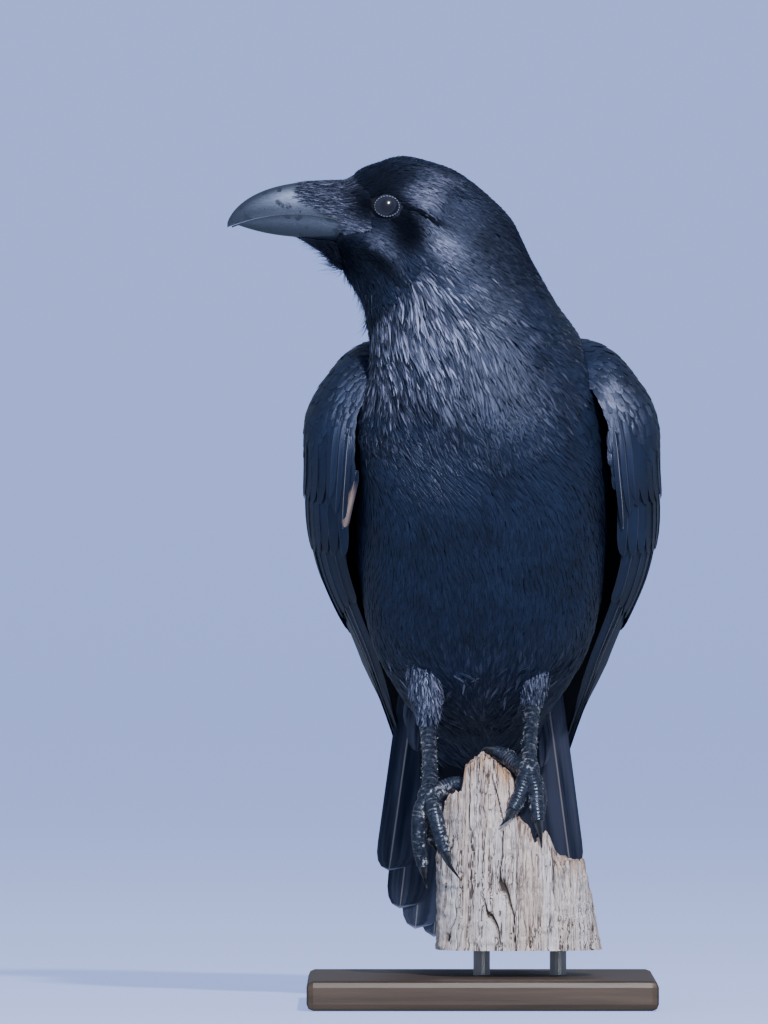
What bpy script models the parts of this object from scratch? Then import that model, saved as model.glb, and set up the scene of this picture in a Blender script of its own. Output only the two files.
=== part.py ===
"""Raven perched on the broken top of a dead snag, life size: the solids of the bird, perch and stand.

Metres, +Z up. The bird faces -Y, its right side is at -X, and its head is turned to its own right,
so the bill points along -X. The origin is the middle of the stand's underside.
The bird's outer form reaches to the tips of its feathers. Run it with blender --background --python.
"""

import math
from collections import namedtuple

import bmesh
import bpy
import numpy as np

# Driving dimensions.
GAP = 0.0003
CUT = 0.0004
TRUNK_SEGMENTS = 22
HEAD_PLANE_Y = -0.065
ROUNDNESS = 2.15

# A cross-section of the bird's outer form. turn and tilt are in degrees: turn is the way the bird's
# own left side points, from +X, and tilt is the rise of the line from throat or belly to the back.
Station = namedtuple("Station", "place turn tilt depth width")
BODY_STATIONS = (
    Station((0.000, 0.131, 0.113), 0, 33, 0.0050, 0.0160),
    Station((0.000, 0.107, 0.145), 0, 33, 0.0130, 0.0330),
    Station((0.000, 0.083, 0.175), 0, 35, 0.0280, 0.0400),
    Station((0.000, 0.062, 0.199), 0, 35, 0.0480, 0.0540),
    Station((0.000, 0.037, 0.231), 0, 35, 0.0650, 0.0680),
    Station((0.000, 0.009, 0.270), 0, 35, 0.0750, 0.0750),
    Station((0.000, -0.016, 0.308), 0, 35, 0.0790, 0.0765),
    Station((0.000, -0.039, 0.342), -3, 35, 0.0775, 0.0745),
    Station((-0.003, -0.055, 0.371), -19, 35, 0.0705, 0.0690),
    Station((-0.0085, -0.063, 0.396), -38, 35, 0.0630, 0.0615),
    Station((-0.0165, -0.065, 0.417), -58, 36, 0.0580, 0.0530),
    Station((-0.0250, -0.065, 0.4365), -76, 40, 0.0555, 0.0450),
    Station((-0.0340, -0.065, 0.4515), -90, 46, 0.0513, 0.0385),
    Station((-0.0430, -0.065, 0.4610), -90, 54.5, 0.0490, 0.0335),
    Station((-0.0525, -0.065, 0.4665), -90, 62.5, 0.0460, 0.0290),
    Station((-0.0627, -0.065, 0.4712), -90, 69.5, 0.0422, 0.0255),
    Station((-0.0717, -0.065, 0.4721), -90, 75.0, 0.0363, 0.0232),
    Station((-0.0786, -0.065, 0.4733), -90, 79.5, 0.0302, 0.0200),
    Station((-0.0837, -0.065, 0.4735), -90, 83.5, 0.0239, 0.0160),
    Station((-0.0865, -0.065, 0.4735), -90, 85.0, 0.0150, 0.0100),
)
TRUNK_TO_NECK = 8.5
NECK_TO_HEAD = 11.6
BODY_STEP = GAP / 0.028

# The bill. Distances run from its base, where the forehead's feathers end, to its hooked tip.
BILL_BASE_X = -0.0780
BILL_TIP_X = -0.1530
CULMEN_Z = 0.4956
CULMEN_DROP = 0.0280
MOUTH_TOP = (-0.1130, 0.4756)
MOUTH_ARCH = 5.0
MANDIBLE_TIP_X = -0.1500
MANDIBLE_Z = 0.4583
BILL_HALF_WIDTH = 0.0118

# The bristles that lie over the bill's base, and the loose feathers under its chin.
BRISTLE_TIP_X = -0.1140
BRISTLE_REACH = math.radians(76)
BRISTLE_DEPTH = 0.0014
CHIN_TUFT = (
    (-0.0860, 0.4515, 0.0080), (-0.0936, 0.4565, 0.0046), (-0.1002, 0.4592, 0.0031),
    (-0.1092, 0.4611, 0.0016),
)

EYE_RADIUS = 0.0082
EYE_CENTRE = (-0.0570, 0.0212, 0.4799)

# The folded wing of the left side: its front and lower edge, its outermost line and its rear edge,
# each from the shoulder to the tip of the longest primary.
WING_STEPS = (0.0, 0.12, 0.30, 0.50, 0.70, 0.85, 1.0)
WING_FRONT = (
    (0.060, -0.071, 0.386), (0.078, -0.090, 0.365), (0.087, -0.080, 0.313), (0.084, -0.035, 0.257),
    (0.065, 0.045, 0.197), (0.049, 0.130, 0.137), (0.030, 0.187, 0.047),
)
WING_CREST = (
    (0.074, -0.045, 0.398), (0.096, -0.043, 0.374), (0.1065, -0.019, 0.319), (0.1015, 0.018, 0.266),
    (0.075, 0.072, 0.205), (0.0520, 0.139, 0.144), (0.027, 0.194, 0.049),
)
WING_REAR = (
    (0.052, -0.013, 0.399), (0.062, 0.013, 0.387), (0.060, 0.053, 0.338), (0.050, 0.088, 0.275),
    (0.042, 0.119, 0.211), (0.034, 0.158, 0.141), (0.024, 0.201, 0.053),
)
# Each wing is drawn in to the body by this much, at the shoulder and at the tip.
WING_SPREAD = {"right": (1.03, 0.88), "left": (1.00, 0.98)}
WING_THICKNESS = 0.0150
WING_TIP_THICKNESS = 0.0022
WING_PART_GAP = 0.0011
WING_PARTS = (("shoulder", 0.0, 0.30), ("secondaries", 0.30, 0.64), ("primaries", 0.64, 1.0))

# The tail: twelve feathers as one fan, hung from a point inside the rump.
TAIL_ROOT = (0.0, 0.063, 0.233)
TAIL_SLOPE = math.radians(57)
TAIL_LENGTH = 0.237
TAIL_START = 0.045
TAIL_HALF_WIDTH = 0.043
TAIL_FLARE = 0.130
TAIL_GRADUATION = 0.074
TAIL_WEDGE = 4.0
TAIL_THICKNESS = 0.0045

# The legs, by side: the bird's right is at -X. Toes run from the pad to the root of the claw.
Leg = namedtuple("Leg", "knee thigh shank ankle pad toes claws")
LEGS = {
    "right": Leg(
        knee=(-0.0380, -0.014, 0.253), thigh=(-0.0355, -0.012, 0.217), shank=(-0.0330, -0.006, 0.187),
        ankle=(-0.0320, 0.001, 0.168), pad=(-0.0308, -0.040, 0.1270),
        toes={
            "hind": ((-0.0225, -0.0370, 0.1315), (-0.0155, -0.0365, 0.1340), (-0.0100, -0.0375, 0.1325)),
            "inner": ((-0.0290, -0.0490, 0.1190), (-0.0262, -0.0540, 0.1075), (-0.0225, -0.0560, 0.0930)),
            "middle": ((-0.0365, -0.0430, 0.1180), (-0.0378, -0.0420, 0.1010), (-0.0355, -0.0380, 0.0850)),
            "outer": ((-0.0335, -0.0300, 0.1200), (-0.0330, -0.0200, 0.1100), (-0.0305, -0.0110, 0.1010)),
        },
        claws={
            "hind": ((-0.0068, -0.0385, 0.1290), (-0.0042, -0.0400, 0.1205)),
            "inner": ((-0.0190, -0.0570, 0.0850), (-0.0132, -0.0565, 0.0770)),
            "middle": ((-0.0345, -0.0365, 0.0780), (-0.0330, -0.0330, 0.0710)),
            "outer": ((-0.0285, -0.0060, 0.0960), (-0.0255, -0.0040, 0.0900)),
        },
    ),
    "left": Leg(
        knee=(0.0380, -0.014, 0.257), thigh=(0.0345, -0.012, 0.225), shank=(0.0320, -0.006, 0.199),
        ankle=(0.0305, 0.002, 0.181), pad=(0.0274, -0.042, 0.1418),
        toes={
            "hind": ((0.0205, -0.0350, 0.1455), (0.0140, -0.0300, 0.1505), (0.0080, -0.0280, 0.1533)),
            "inner": ((0.0240, -0.0510, 0.1320), (0.0210, -0.0565, 0.1240), (0.0180, -0.0600, 0.1180)),
            "middle": ((0.0315, -0.0500, 0.1320), (0.0325, -0.0550, 0.1215), (0.0336, -0.0575, 0.1120)),
            "outer": ((0.0325, -0.0330, 0.1335), (0.0345, -0.0230, 0.1240), (0.0345, -0.0135, 0.1150)),
        },
        claws={
            "hind": ((0.0015, -0.0275, 0.1542), (-0.0033, -0.0285, 0.1485)),
            "inner": ((0.0148, -0.0615, 0.1130), (0.0105, -0.0600, 0.1088)),
            "middle": ((0.0350, -0.0580, 0.1035), (0.0358, -0.0555, 0.0959)),
            "outer": ((0.0340, -0.0090, 0.1090), (0.0325, -0.0070, 0.1025)),
        },
    ),
}
THIGH_RADII = (0.0220, 0.0140, 0.0108, 0.0066)
TARSUS_RADII = (0.0056, 0.0044, 0.0048, 0.0056)
PAD_RADIUS = 0.0078
TOE_RADII = (0.0056, 0.0050, 0.0046, 0.0038)
CLAW_RADII = (0.0030, 0.0022, 0.0006)
CLAW_ROOT = 0.0012

# The snag that the bird grips: a weathered length of dead wood, broken off above.
PERCH_FOOT_Z = 0.0340
PERCH_NECK_Z = 0.0950
PERCH_FOOT = (0.0224, -0.0145, 0.0499, 0.0441)
PERCH_NECK = (0.0190, -0.0140, 0.0465, 0.0420)
PERCH_SQUARENESS = 2.8
PERCH_SEGMENTS = 44
# The broken edge's height across the front, from the left shoulder over the peak to the low side.
PERCH_EDGE = (
    (-0.0280, 0.0950), (-0.0245, 0.1030), (-0.0224, 0.1210), (-0.0195, 0.1272), (-0.0120, 0.1286),
    (-0.0102, 0.1435), (-0.0002, 0.1520), (0.0074, 0.1471), (0.0143, 0.1426), (0.0189, 0.1364),
    (0.0212, 0.1140), (0.0288, 0.1066), (0.0312, 0.0980), (0.0380, 0.1043), (0.0411, 0.1005),
    (0.0442, 0.0913), (0.0526, 0.0874), (0.0618, 0.0882), (0.0660, 0.0750),
)
PERCH_RIM_Y = -0.0330
PERCH_BACK_FALL = 0.62

BASE_SIZE = (0.210, 0.250, 0.018)
BASE_BEVEL = 0.004
ROD_RADIUS = 0.0050
ROD_PLACES = ((0.000, -0.015), (0.046, -0.015))

Finish = namedtuple("Finish", "colour roughness metallic")
FINISHES = {
    "plumage": Finish((0.012, 0.014, 0.024), 0.42, 0.0),
    "bill_horn": Finish((0.020, 0.022, 0.028), 0.28, 0.0),
    "eye": Finish((0.030, 0.034, 0.050), 0.05, 0.0),
    "leg_scales": Finish((0.016, 0.018, 0.024), 0.40, 0.0),
    "claw_horn": Finish((0.012, 0.013, 0.017), 0.22, 0.0),
    "dead_wood": Finish((0.420, 0.350, 0.310), 0.85, 0.0),
    "stand_wood": Finish((0.050, 0.040, 0.034), 0.45, 0.0),
    "stand_metal": Finish((0.300, 0.300, 0.310), 0.30, 1.0),
}


def clear_scene():
    """Removes whatever the file holds."""
    for old in list(bpy.data.objects):
        bpy.data.objects.remove(old)


def finish_of(name):
    """The material of that name, made on first use."""
    found = bpy.data.materials.get(name)
    if found:
        return found
    made = bpy.data.materials.new(name)
    made.use_nodes = True
    shader = made.node_tree.nodes["Principled BSDF"]
    shader.inputs["Base Color"].default_value = (*FINISHES[name].colour, 1)
    shader.inputs["Roughness"].default_value = FINISHES[name].roughness
    shader.inputs["Metallic"].default_value = FINISHES[name].metallic
    return made


def place(name, mesh, finish):
    """An object holding that mesh, shaded smooth but for its hard edges."""
    mesh.shade_smooth()
    mesh.set_sharp_from_angle(angle=math.radians(50))
    made = bpy.data.objects.new(name, mesh)
    made.data.materials.append(finish_of(finish))
    bpy.context.scene.collection.objects.link(made)
    return made


def loft(name, rings, finish):
    """A closed body of triangles through rings of equally many points, an even number."""
    shape = bmesh.new()
    rows = [[shape.verts.new(point) for point in ring] for ring in rings]
    count = len(rows[0])
    for near, far in zip(rows, rows[1:]):
        for k in range(count):
            shape.faces.new((near[k - 1], near[k], far[k]))
            shape.faces.new((near[k - 1], far[k], far[k - 1]))
    for ring in (rows[0], rows[-1]):
        for k in range(count // 2 - 1):
            corners = ring[k], ring[k + 1], ring[count - 2 - k], ring[count - 1 - k]
            shape.faces.new(corners[:3])
            shape.faces.new((corners[0], *corners[2:]))
    bmesh.ops.recalc_face_normals(shape, faces=shape.faces)
    mesh = bpy.data.meshes.new(name)
    shape.to_mesh(mesh)
    shape.free()
    return place(name, mesh, finish)


def as_cutter(helper):
    """Keeps a helper out of the model: it only cuts."""
    helper.hide_render = True
    helper.display_type = "WIRE"
    return helper


def carve(target, cutter):
    """Cuts the cutter's space out of the target."""
    cut = target.modifiers.new("clear_" + cutter.name, "BOOLEAN")
    cut.operation = "DIFFERENCE"
    cut.solver = "EXACT"
    cut.object = cutter


def through(points, steps, at):
    """Values at the parameters at of a smooth curve (Catmull-Rom) that meets each point at its step."""
    values = np.asarray(points, float).reshape(len(steps), -1)
    steps = np.asarray(steps, float)
    at = np.clip(np.atleast_1d(at), steps[0], steps[-1])
    k = np.clip(np.searchsorted(steps, at, side="right") - 1, 0, len(steps) - 2)
    slopes = np.gradient(values, steps, axis=0)
    span = (steps[k + 1] - steps[k])[:, None]
    f = (at - steps[k])[:, None] / span
    return (
        values[k] * (1 + 2 * f) * (1 - f) ** 2
        + values[k + 1] * (3 - 2 * f) * f**2
        + slopes[k] * span * f * (1 - f) ** 2
        - slopes[k + 1] * span * (1 - f) * f**2
    )


def body_ring(at, grow=0.0):
    """One ring of the outer form, a rounded oval, at a station number that may fall between two."""
    rows = [(*s.place, s.turn, s.tilt, s.depth, s.width) for s in BODY_STATIONS]
    x, y, z, turn, tilt, depth, width = through(rows, range(len(rows)), at)[0]
    turn, tilt = math.radians(turn), math.radians(tilt)
    left = np.array((math.cos(turn), math.sin(turn), 0))
    behind = np.array((-math.sin(turn), math.cos(turn), 0))
    back = behind * math.cos(tilt) + np.array((0, 0, 1)) * math.sin(tilt)
    angle = np.arange(TRUNK_SEGMENTS) * math.tau / TRUNK_SEGMENTS
    across = np.sign(np.cos(angle)) * np.abs(np.cos(angle)) ** (2 / ROUNDNESS)
    along = np.sign(np.sin(angle)) * np.abs(np.sin(angle)) ** (2 / ROUNDNESS)
    across, along = across * (width + grow), along * (depth + grow)
    return np.array((x, y, z)) + np.outer(across, left) + np.outer(along, back)


def body_part(name, start, end, rings):
    """The length of the outer form between two station numbers."""
    return loft(name, [body_ring(at) for at in np.linspace(start, end, rings)], "plumage")


def tube_rings(points, radii, sides, grow=0.0, detail=2):
    """Round rings along a smooth curve through the points, square to it."""
    steps = np.arange(len(points))
    at = np.linspace(0, len(points) - 1, detail * (len(points) - 1) + 1)
    line = through(points, steps, at)
    thick = through(radii, steps, at)[:, 0] + grow
    ways = np.gradient(line, axis=0)
    ways /= np.linalg.norm(ways, axis=1, keepdims=True)
    side = np.cross(ways[0], (0.9, 0.1, 0.3))
    rings = []
    for centre, way, radius in zip(line, ways, thick):
        side = side - way * (side @ way)
        side /= np.linalg.norm(side)
        up = np.cross(way, side)
        angle = np.arange(sides)[:, None] * math.tau / sides
        rings.append(centre + radius * (np.cos(angle) * side + np.sin(angle) * up))
    return rings


def longer(rings, distance=CUT):
    """The rings with the first and the last moved outwards, so that a cutter clears both ends too."""
    rings = [np.asarray(ring, float) for ring in rings]
    for end, inner in ((0, 1), (-1, -2)):
        way = rings[end].mean(axis=0) - rings[inner].mean(axis=0)
        rings[end] = rings[end] + way / np.linalg.norm(way) * distance
    return rings


def shift_along(points, distance):
    """The points with the first one moved that far towards the second."""
    first, second = np.array(points[0]), np.array(points[1])
    way = (second - first) / np.linalg.norm(second - first)
    return [first + way * distance, *map(np.array, points[1:])]


def ball(name, centre, radius, finish, rings=8, segments=12):
    """A round ball."""
    shape = bmesh.new()
    bmesh.ops.create_uvsphere(shape, u_segments=segments, v_segments=rings, radius=radius)
    mesh = bpy.data.meshes.new(name)
    shape.to_mesh(mesh)
    shape.free()
    made = place(name, mesh, finish)
    made.location = centre
    return made


def culmen_height(x):
    """Height of the bill's upper ridge: nearly level, then curving down to the hooked tip."""
    s = np.clip((BILL_BASE_X - x) / (BILL_BASE_X - BILL_TIP_X), 0, 1)
    return CULMEN_Z - CULMEN_DROP * (0.52 * s**2.8 + 0.48 * (1 - np.sqrt(1 - s**6)))


def mouth_height(x):
    """Height of the cutting edge, a shallow arch that falls towards the gape and the tip."""
    return MOUTH_TOP[1] - MOUTH_ARCH * (x - MOUTH_TOP[0]) ** 2


def mandible_height(x):
    """Height of the lower mandible's underside, which rises to its tip."""
    level = MANDIBLE_Z - 0.105 * (x - BILL_BASE_X)
    return level + 0.0045 * np.clip((-0.118 - x) / 0.032, 0, 1) ** 2


def bill_half_width(x):
    """Half the bill's width, narrowing to the tip."""
    s = np.clip((BILL_BASE_X - x) / (BILL_BASE_X - BILL_TIP_X), 0, 1)
    return BILL_HALF_WIDTH * (1 - s**1.5) ** 0.8 + 0.0007


def upper_bill_ring(x, grow=0.0):
    """A ring of the upper mandible: a rounded arch over a flat underside."""
    half, low, high = bill_half_width(x) + grow, mouth_height(x), culmen_height(x)
    low = min(low, high - 0.0012)
    angle = np.linspace(0, math.pi, 10)
    y = HEAD_PLANE_Y + half * np.cos(angle) * (1 - 0.25 * np.sin(angle) ** 4)
    z = low - grow + (high - low + 2 * grow) * np.sin(angle) ** 0.9
    return np.column_stack((np.full(10, x), y, z))


def lower_bill_ring(x, grow=0.0):
    """A ring of the lower mandible: a flat top over a rounded keel."""
    half = bill_half_width(x) * 0.93 + grow
    high, low = mouth_height(x) - GAP + grow, mandible_height(x) - grow
    low = min(low, high - 0.0010)
    angle = np.linspace(math.pi, math.tau, 10)
    y = HEAD_PLANE_Y + half * np.cos(angle)
    z = high + (high - low) * np.sin(angle) * (0.55 + 0.45 * np.sin(angle) ** 2)
    return np.column_stack((np.full(10, x), y, z))


def bristle_ring(x, grow=0.0):
    """A thin arch over the upper mandible, reaching half way down both its sides."""
    rest = (x - BRISTLE_TIP_X) / (BILL_BASE_X - BRISTLE_TIP_X)
    reach = BRISTLE_REACH * (0.80 + 0.20 * max(rest, 0) ** 0.5) + grow * 120
    angle = math.pi / 2 + np.linspace(-1, 1, 9) * reach
    inner, outer = (
        np.column_stack((
            np.full(9, x),
            HEAD_PLANE_Y + (bill_half_width(x) + rise) * np.cos(angle) * (1 - 0.25 * np.sin(angle) ** 4),
            mouth_height(x) + (culmen_height(x) + rise - mouth_height(x)) * np.sin(angle) ** 0.9,
        ))
        for rise in (CUT - 4 * grow, CUT + BRISTLE_DEPTH * (0.45 + 0.55 * rest) + grow)
    )
    return np.concatenate((outer, inner[::-1]))


def make_tufts(mandible_room):
    """The bristles over the bill's base and the feathers of the chin. Returns the rooms they need."""
    places = np.linspace(BILL_BASE_X + 0.0020, BRISTLE_TIP_X, 6)
    loft("bristles", [bristle_ring(x) for x in places], "plumage")
    line = [(x, HEAD_PLANE_Y, z) for x, z, _ in CHIN_TUFT]
    radii = [radius for _, _, radius in CHIN_TUFT]
    chin = loft("chin_tuft", tube_rings(line, radii, 10), "plumage")
    carve(chin, mandible_room)
    room = longer([bristle_ring(x, CUT) for x in places])
    arch = as_cutter(loft("bristles_room", room, "plumage"))
    room = longer(tube_rings(line, radii, 10, CUT))
    return arch, as_cutter(loft("chin_tuft_room", room, "plumage"))


def make_head():
    """The feathered head with its bill, its tufts and its eyes let into it."""
    head = body_part("head", NECK_TO_HEAD, len(BODY_STATIONS) - 1, 11)
    root = BILL_BASE_X + 0.004
    upper = np.linspace(root, BILL_TIP_X + 0.0004, 12)
    lower = np.linspace(root, MANDIBLE_TIP_X, 10)
    loft("bill_upper", [upper_bill_ring(x) for x in upper], "bill_horn")
    loft("bill_lower", [lower_bill_ring(x) for x in lower], "bill_horn")
    upper_room = longer([upper_bill_ring(x, CUT) for x in upper])
    upper_room = as_cutter(loft("bill_upper_room", upper_room, "bill_horn"))
    lower_room = longer([lower_bill_ring(x, CUT) for x in lower])
    lower_room = as_cutter(loft("bill_lower_room", lower_room, "bill_horn"))
    for room in (upper_room, lower_room, *make_tufts(lower_room)):
        carve(head, room)
    for side, sign in (("left", -1), ("right", 1)):
        x, out, z = EYE_CENTRE
        centre = (x, HEAD_PLANE_Y + sign * out, z)
        ball("eye_" + side, centre, EYE_RADIUS, "eye")
        carve(head, as_cutter(ball("orbit_" + side, centre, EYE_RADIUS + CUT, "eye")))


def make_neck():
    """The neck, between two thin cuts."""
    body_part("neck", TRUNK_TO_NECK + BODY_STEP, NECK_TO_HEAD - BODY_STEP, 6)


def wing_surface(side, s, t):
    """Points of the folded wing's outer face: s from shoulder to tip, t from front edge to rear."""
    front, crest, rear = (through(c, WING_STEPS, s) for c in (WING_FRONT, WING_CREST, WING_REAR))
    t = t[:, None, None]
    face = front * (1 - t) * (1 - 2 * t) + crest * 4 * t * (1 - t) + rear * t * (2 * t - 1)
    near, far = WING_SPREAD["left" if side > 0 else "right"]
    face[..., 0] *= side * (near + (far - near) * np.clip(s, 0, 1) ** 1.5)
    return face


def wing_ring(side, s, grow=0.0):
    """A ring round the wing at s: its outer face and, a feather layer's depth in, its inner one."""
    t = np.linspace(-20 * grow, 1 + 20 * grow, 9)
    near, here, far = (wing_surface(side, np.array([v]), t)[:, 0] for v in (s - 0.01, s, s + 0.01))
    if s >= 1:
        far = here
    if s <= 0:
        near = here
    inward = np.cross(far - near, np.gradient(here, axis=0))
    inward *= -side / np.linalg.norm(inward, axis=1, keepdims=True)
    thick = WING_THICKNESS + (WING_TIP_THICKNESS - WING_THICKNESS) * min(1, s / 0.75)
    thick = thick * (0.35 + 0.65 * np.sin(math.pi * (0.12 + 0.76 * t)) ** 0.7)[:, None]
    outer = here - inward * grow
    inner = here + inward * (thick + grow)
    return np.concatenate((outer, inner[::-1]))


def make_wings():
    """Both folded wings, each parted across into three and fitted to the body. Returns the rooms."""
    places = np.linspace(0, TRUNK_TO_NECK - BODY_STEP, 15)
    places = np.append(places, np.linspace(TRUNK_TO_NECK + BODY_STEP, NECK_TO_HEAD - BODY_STEP, 6))
    body_room = longer([body_ring(at, CUT) for at in places])
    body_room = as_cutter(loft("body_room", body_room, "plumage"))
    rooms = []
    for name, side in (("right", -1), ("left", 1)):
        room = []
        for part, start, end in WING_PARTS:
            first = start + (WING_PART_GAP if start else 0)
            last = end - (WING_PART_GAP if end < 1 else 0)
            places = np.linspace(first, last, 6)
            rings = [wing_ring(side, s) for s in places]
            carve(loft(f"wing_{name}_{part}", rings, "plumage"), body_room)
            room += [wing_ring(side, s, CUT) for s in places]
        rooms.append(as_cutter(loft("wing_room_" + name, longer(room), "plumage")))
    return rooms


def tail_point(r, x, lift):
    """A point of the tail r down its length, x across it and lift above its middle layer."""
    root = np.array(TAIL_ROOT)
    down = np.array((0, math.cos(TAIL_SLOPE), -math.sin(TAIL_SLOPE)))
    over = np.array((0, math.sin(TAIL_SLOPE), math.cos(TAIL_SLOPE)))
    return root + down * r + over * (lift - 1.6 * x**2) + np.array((x, 0, 0))


def tail_fan(name, grow=0.0):
    """The fan of tail feathers, wedge-shaped at its tip and slightly arched across."""
    across = np.linspace(-1, 1, 11)
    rings = []
    for f in np.linspace(0, 1, 7):
        lower, upper = [], []
        for w in across:
            reach = TAIL_LENGTH - TAIL_GRADUATION * abs(w) ** TAIL_WEDGE
            r = TAIL_START - grow + (reach + 2 * grow - TAIL_START) * f
            x = w * (TAIL_HALF_WIDTH + TAIL_FLARE * r + grow)
            half = TAIL_THICKNESS * (1 - 0.72 * f) * (1 - 0.55 * abs(w)) + grow
            lower.append(tail_point(r, x, -half))
            upper.append(tail_point(r, x, half))
        rings.append(lower + upper[::-1])
    return loft(name, rings, "plumage")


def make_trunk(wing_rooms, shank_rooms):
    """The trunk with the tail and both thighs let into it, the tail notched where the wings cross."""
    trunk = body_part("trunk", 0, TRUNK_TO_NECK - BODY_STEP, 15)
    tail = tail_fan("tail")
    carve(trunk, as_cutter(tail_fan("tail_room", CUT)))
    for room in wing_rooms:
        carve(tail, room)
    for side, leg in LEGS.items():
        line = (leg.knee, leg.thigh, leg.shank, leg.ankle)
        thigh = loft("thigh_" + side, tube_rings(line, THIGH_RADII, 12), "plumage")
        carve(thigh, shank_rooms[side])
        room = longer(tube_rings(line, THIGH_RADII, 12, CUT))
        carve(trunk, as_cutter(loft("thigh_room_" + side, room, "plumage")))


def make_foot(side, leg):
    """A bare shank, its foot pad, toes and claws. Returns the shank's cutter and those of the rest."""
    ankle, pad = np.array(leg.ankle), np.array(leg.pad)
    line = (ankle, ankle * 0.65 + pad * 0.35, ankle * 0.3 + pad * 0.7, pad)
    tarsus = loft("tarsus_" + side, tube_rings(line, TARSUS_RADII, 10), "leg_scales")
    shank_room = longer(tube_rings(line, TARSUS_RADII, 10, CUT))
    shank_room = as_cutter(loft("tarsus_room_" + side, shank_room, "leg_scales"))
    ball("foot_" + side, leg.pad, PAD_RADIUS, "leg_scales", 6, 10)
    pad_room = as_cutter(ball("foot_room_" + side, leg.pad, PAD_RADIUS + CUT, "leg_scales", 6, 10))
    carve(tarsus, pad_room)
    rooms = [pad_room]
    for toe, joints in leg.toes.items():
        path = (pad, *joints)
        body = loft(f"toe_{side}_{toe}", tube_rings(path, TOE_RADII, 8), "leg_scales")
        for room in rooms:
            carve(body, room)
        room = longer(tube_rings(path, TOE_RADII, 8, CUT))
        room = as_cutter(loft(f"toe_room_{side}_{toe}", room, "leg_scales"))
        carve(tarsus, room)
        nail = shift_along((joints[-1], *leg.claws[toe]), -CLAW_ROOT)
        loft(f"claw_{side}_{toe}", tube_rings(nail, CLAW_RADII, 6), "claw_horn")
        nail_room = longer(tube_rings(nail, CLAW_RADII, 6, CUT))
        nail_room = as_cutter(loft(f"claw_room_{side}_{toe}", nail_room, "claw_horn"))
        carve(body, nail_room)
        rooms += [room, nail_room]
    return shank_room, rooms


def broken_edge(x, y):
    """Height of the snag's broken top: the front edge's outline, falling away behind it."""
    edge = np.interp(x, [p[0] for p in PERCH_EDGE], [p[1] for p in PERCH_EDGE])
    behind = np.maximum(0, y - PERCH_RIM_Y)
    ripple = 0.0020 * np.sin(x * 420) * np.cos(y * 250) * np.minimum(1, behind / 0.010)
    return np.maximum(edge - PERCH_BACK_FALL * behind + ripple, PERCH_NECK_Z - 0.030)


def perch_outline(f, shrink=1.0):
    """The snag's outline, f of the way from its cut foot to its neck: a squarish, grooved oval."""
    x, y, half_x, half_y = (a + (b - a) * f for a, b in zip(PERCH_FOOT, PERCH_NECK))
    angle = np.arange(PERCH_SEGMENTS) * math.tau / PERCH_SEGMENTS
    grooves = 1 + (0.012 * np.cos(9 * angle + 0.8) + 0.008 * np.cos(14 * angle + 2.0)) * f
    cos, sin = np.cos(angle), np.sin(angle)
    reach = grooves * shrink / (np.abs(cos) ** PERCH_SQUARENESS + np.abs(sin) ** PERCH_SQUARENESS) ** (
        1 / PERCH_SQUARENESS
    )
    return x + half_x * reach * cos, y + half_y * reach * sin


def make_perch(rooms):
    """The length of snag: grooved sides, the broken top, and seats pressed by the feet."""
    x, y = perch_outline(0)
    rings = [np.column_stack((x, y, np.full(PERCH_SEGMENTS, PERCH_FOOT_Z)))]
    for f in (0.35, 0.7, 1.0):
        x, y = perch_outline(f)
        top = broken_edge(*perch_outline(1.0))
        rings.append(np.column_stack((x, y, PERCH_FOOT_Z + f * (top - PERCH_FOOT_Z))))
    for shrink in (0.92, 0.76, 0.54, 0.28):
        x, y = perch_outline(1.0, shrink)
        rings.append(np.column_stack((x, y, broken_edge(x, y))))
    perch = loft("perch", rings, "dead_wood")
    for room in rooms:
        carve(perch, room)


def make_stand():
    """The flat base and the two rods that hold the perch over it."""
    shape = bmesh.new()
    bmesh.ops.create_cube(shape, size=1)
    bmesh.ops.scale(shape, vec=BASE_SIZE, verts=shape.verts)
    mesh = bpy.data.meshes.new("stand_base")
    shape.to_mesh(mesh)
    shape.free()
    base = place("stand_base", mesh, "stand_wood")
    base.location = (0, 0, BASE_SIZE[2] / 2)
    rounding = base.modifiers.new("rounding", "BEVEL")
    rounding.width = BASE_BEVEL
    rounding.segments = 2
    low, high = BASE_SIZE[2] + GAP, PERCH_FOOT_Z - GAP
    for k, (x, y) in enumerate(ROD_PLACES, 1):
        shape = bmesh.new()
        bmesh.ops.create_cone(
            shape, cap_ends=True, segments=16, radius1=ROD_RADIUS, radius2=ROD_RADIUS, depth=high - low
        )
        mesh = bpy.data.meshes.new(f"stand_rod_{k}")
        shape.to_mesh(mesh)
        shape.free()
        rod = place(f"stand_rod_{k}", mesh, "stand_metal")
        rod.location = (x, y, (low + high) / 2)


clear_scene()
make_head()
make_neck()
folded = make_wings()
shanks, pressed = {}, []
for bird_side, limb in LEGS.items():
    shanks[bird_side], seats = make_foot(bird_side, limb)
    pressed += seats
make_trunk(folded, shanks)
make_perch(pressed)
make_stand()
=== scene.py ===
"""Looks of a life-size raven, perched on a snag over a plain stand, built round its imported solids.

Metres, +Z up. The bird faces -Y and its bill points along -X, so its left cheek is at -Y.
Skin, feathers, horn, scales and wood are surfaces of two parameters, worked out as whole arrays.
"""

import sys
import logging
import math
from collections.abc import Sequence
from dataclasses import dataclass, field
from enum import Enum
from math import pi, tau

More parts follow.
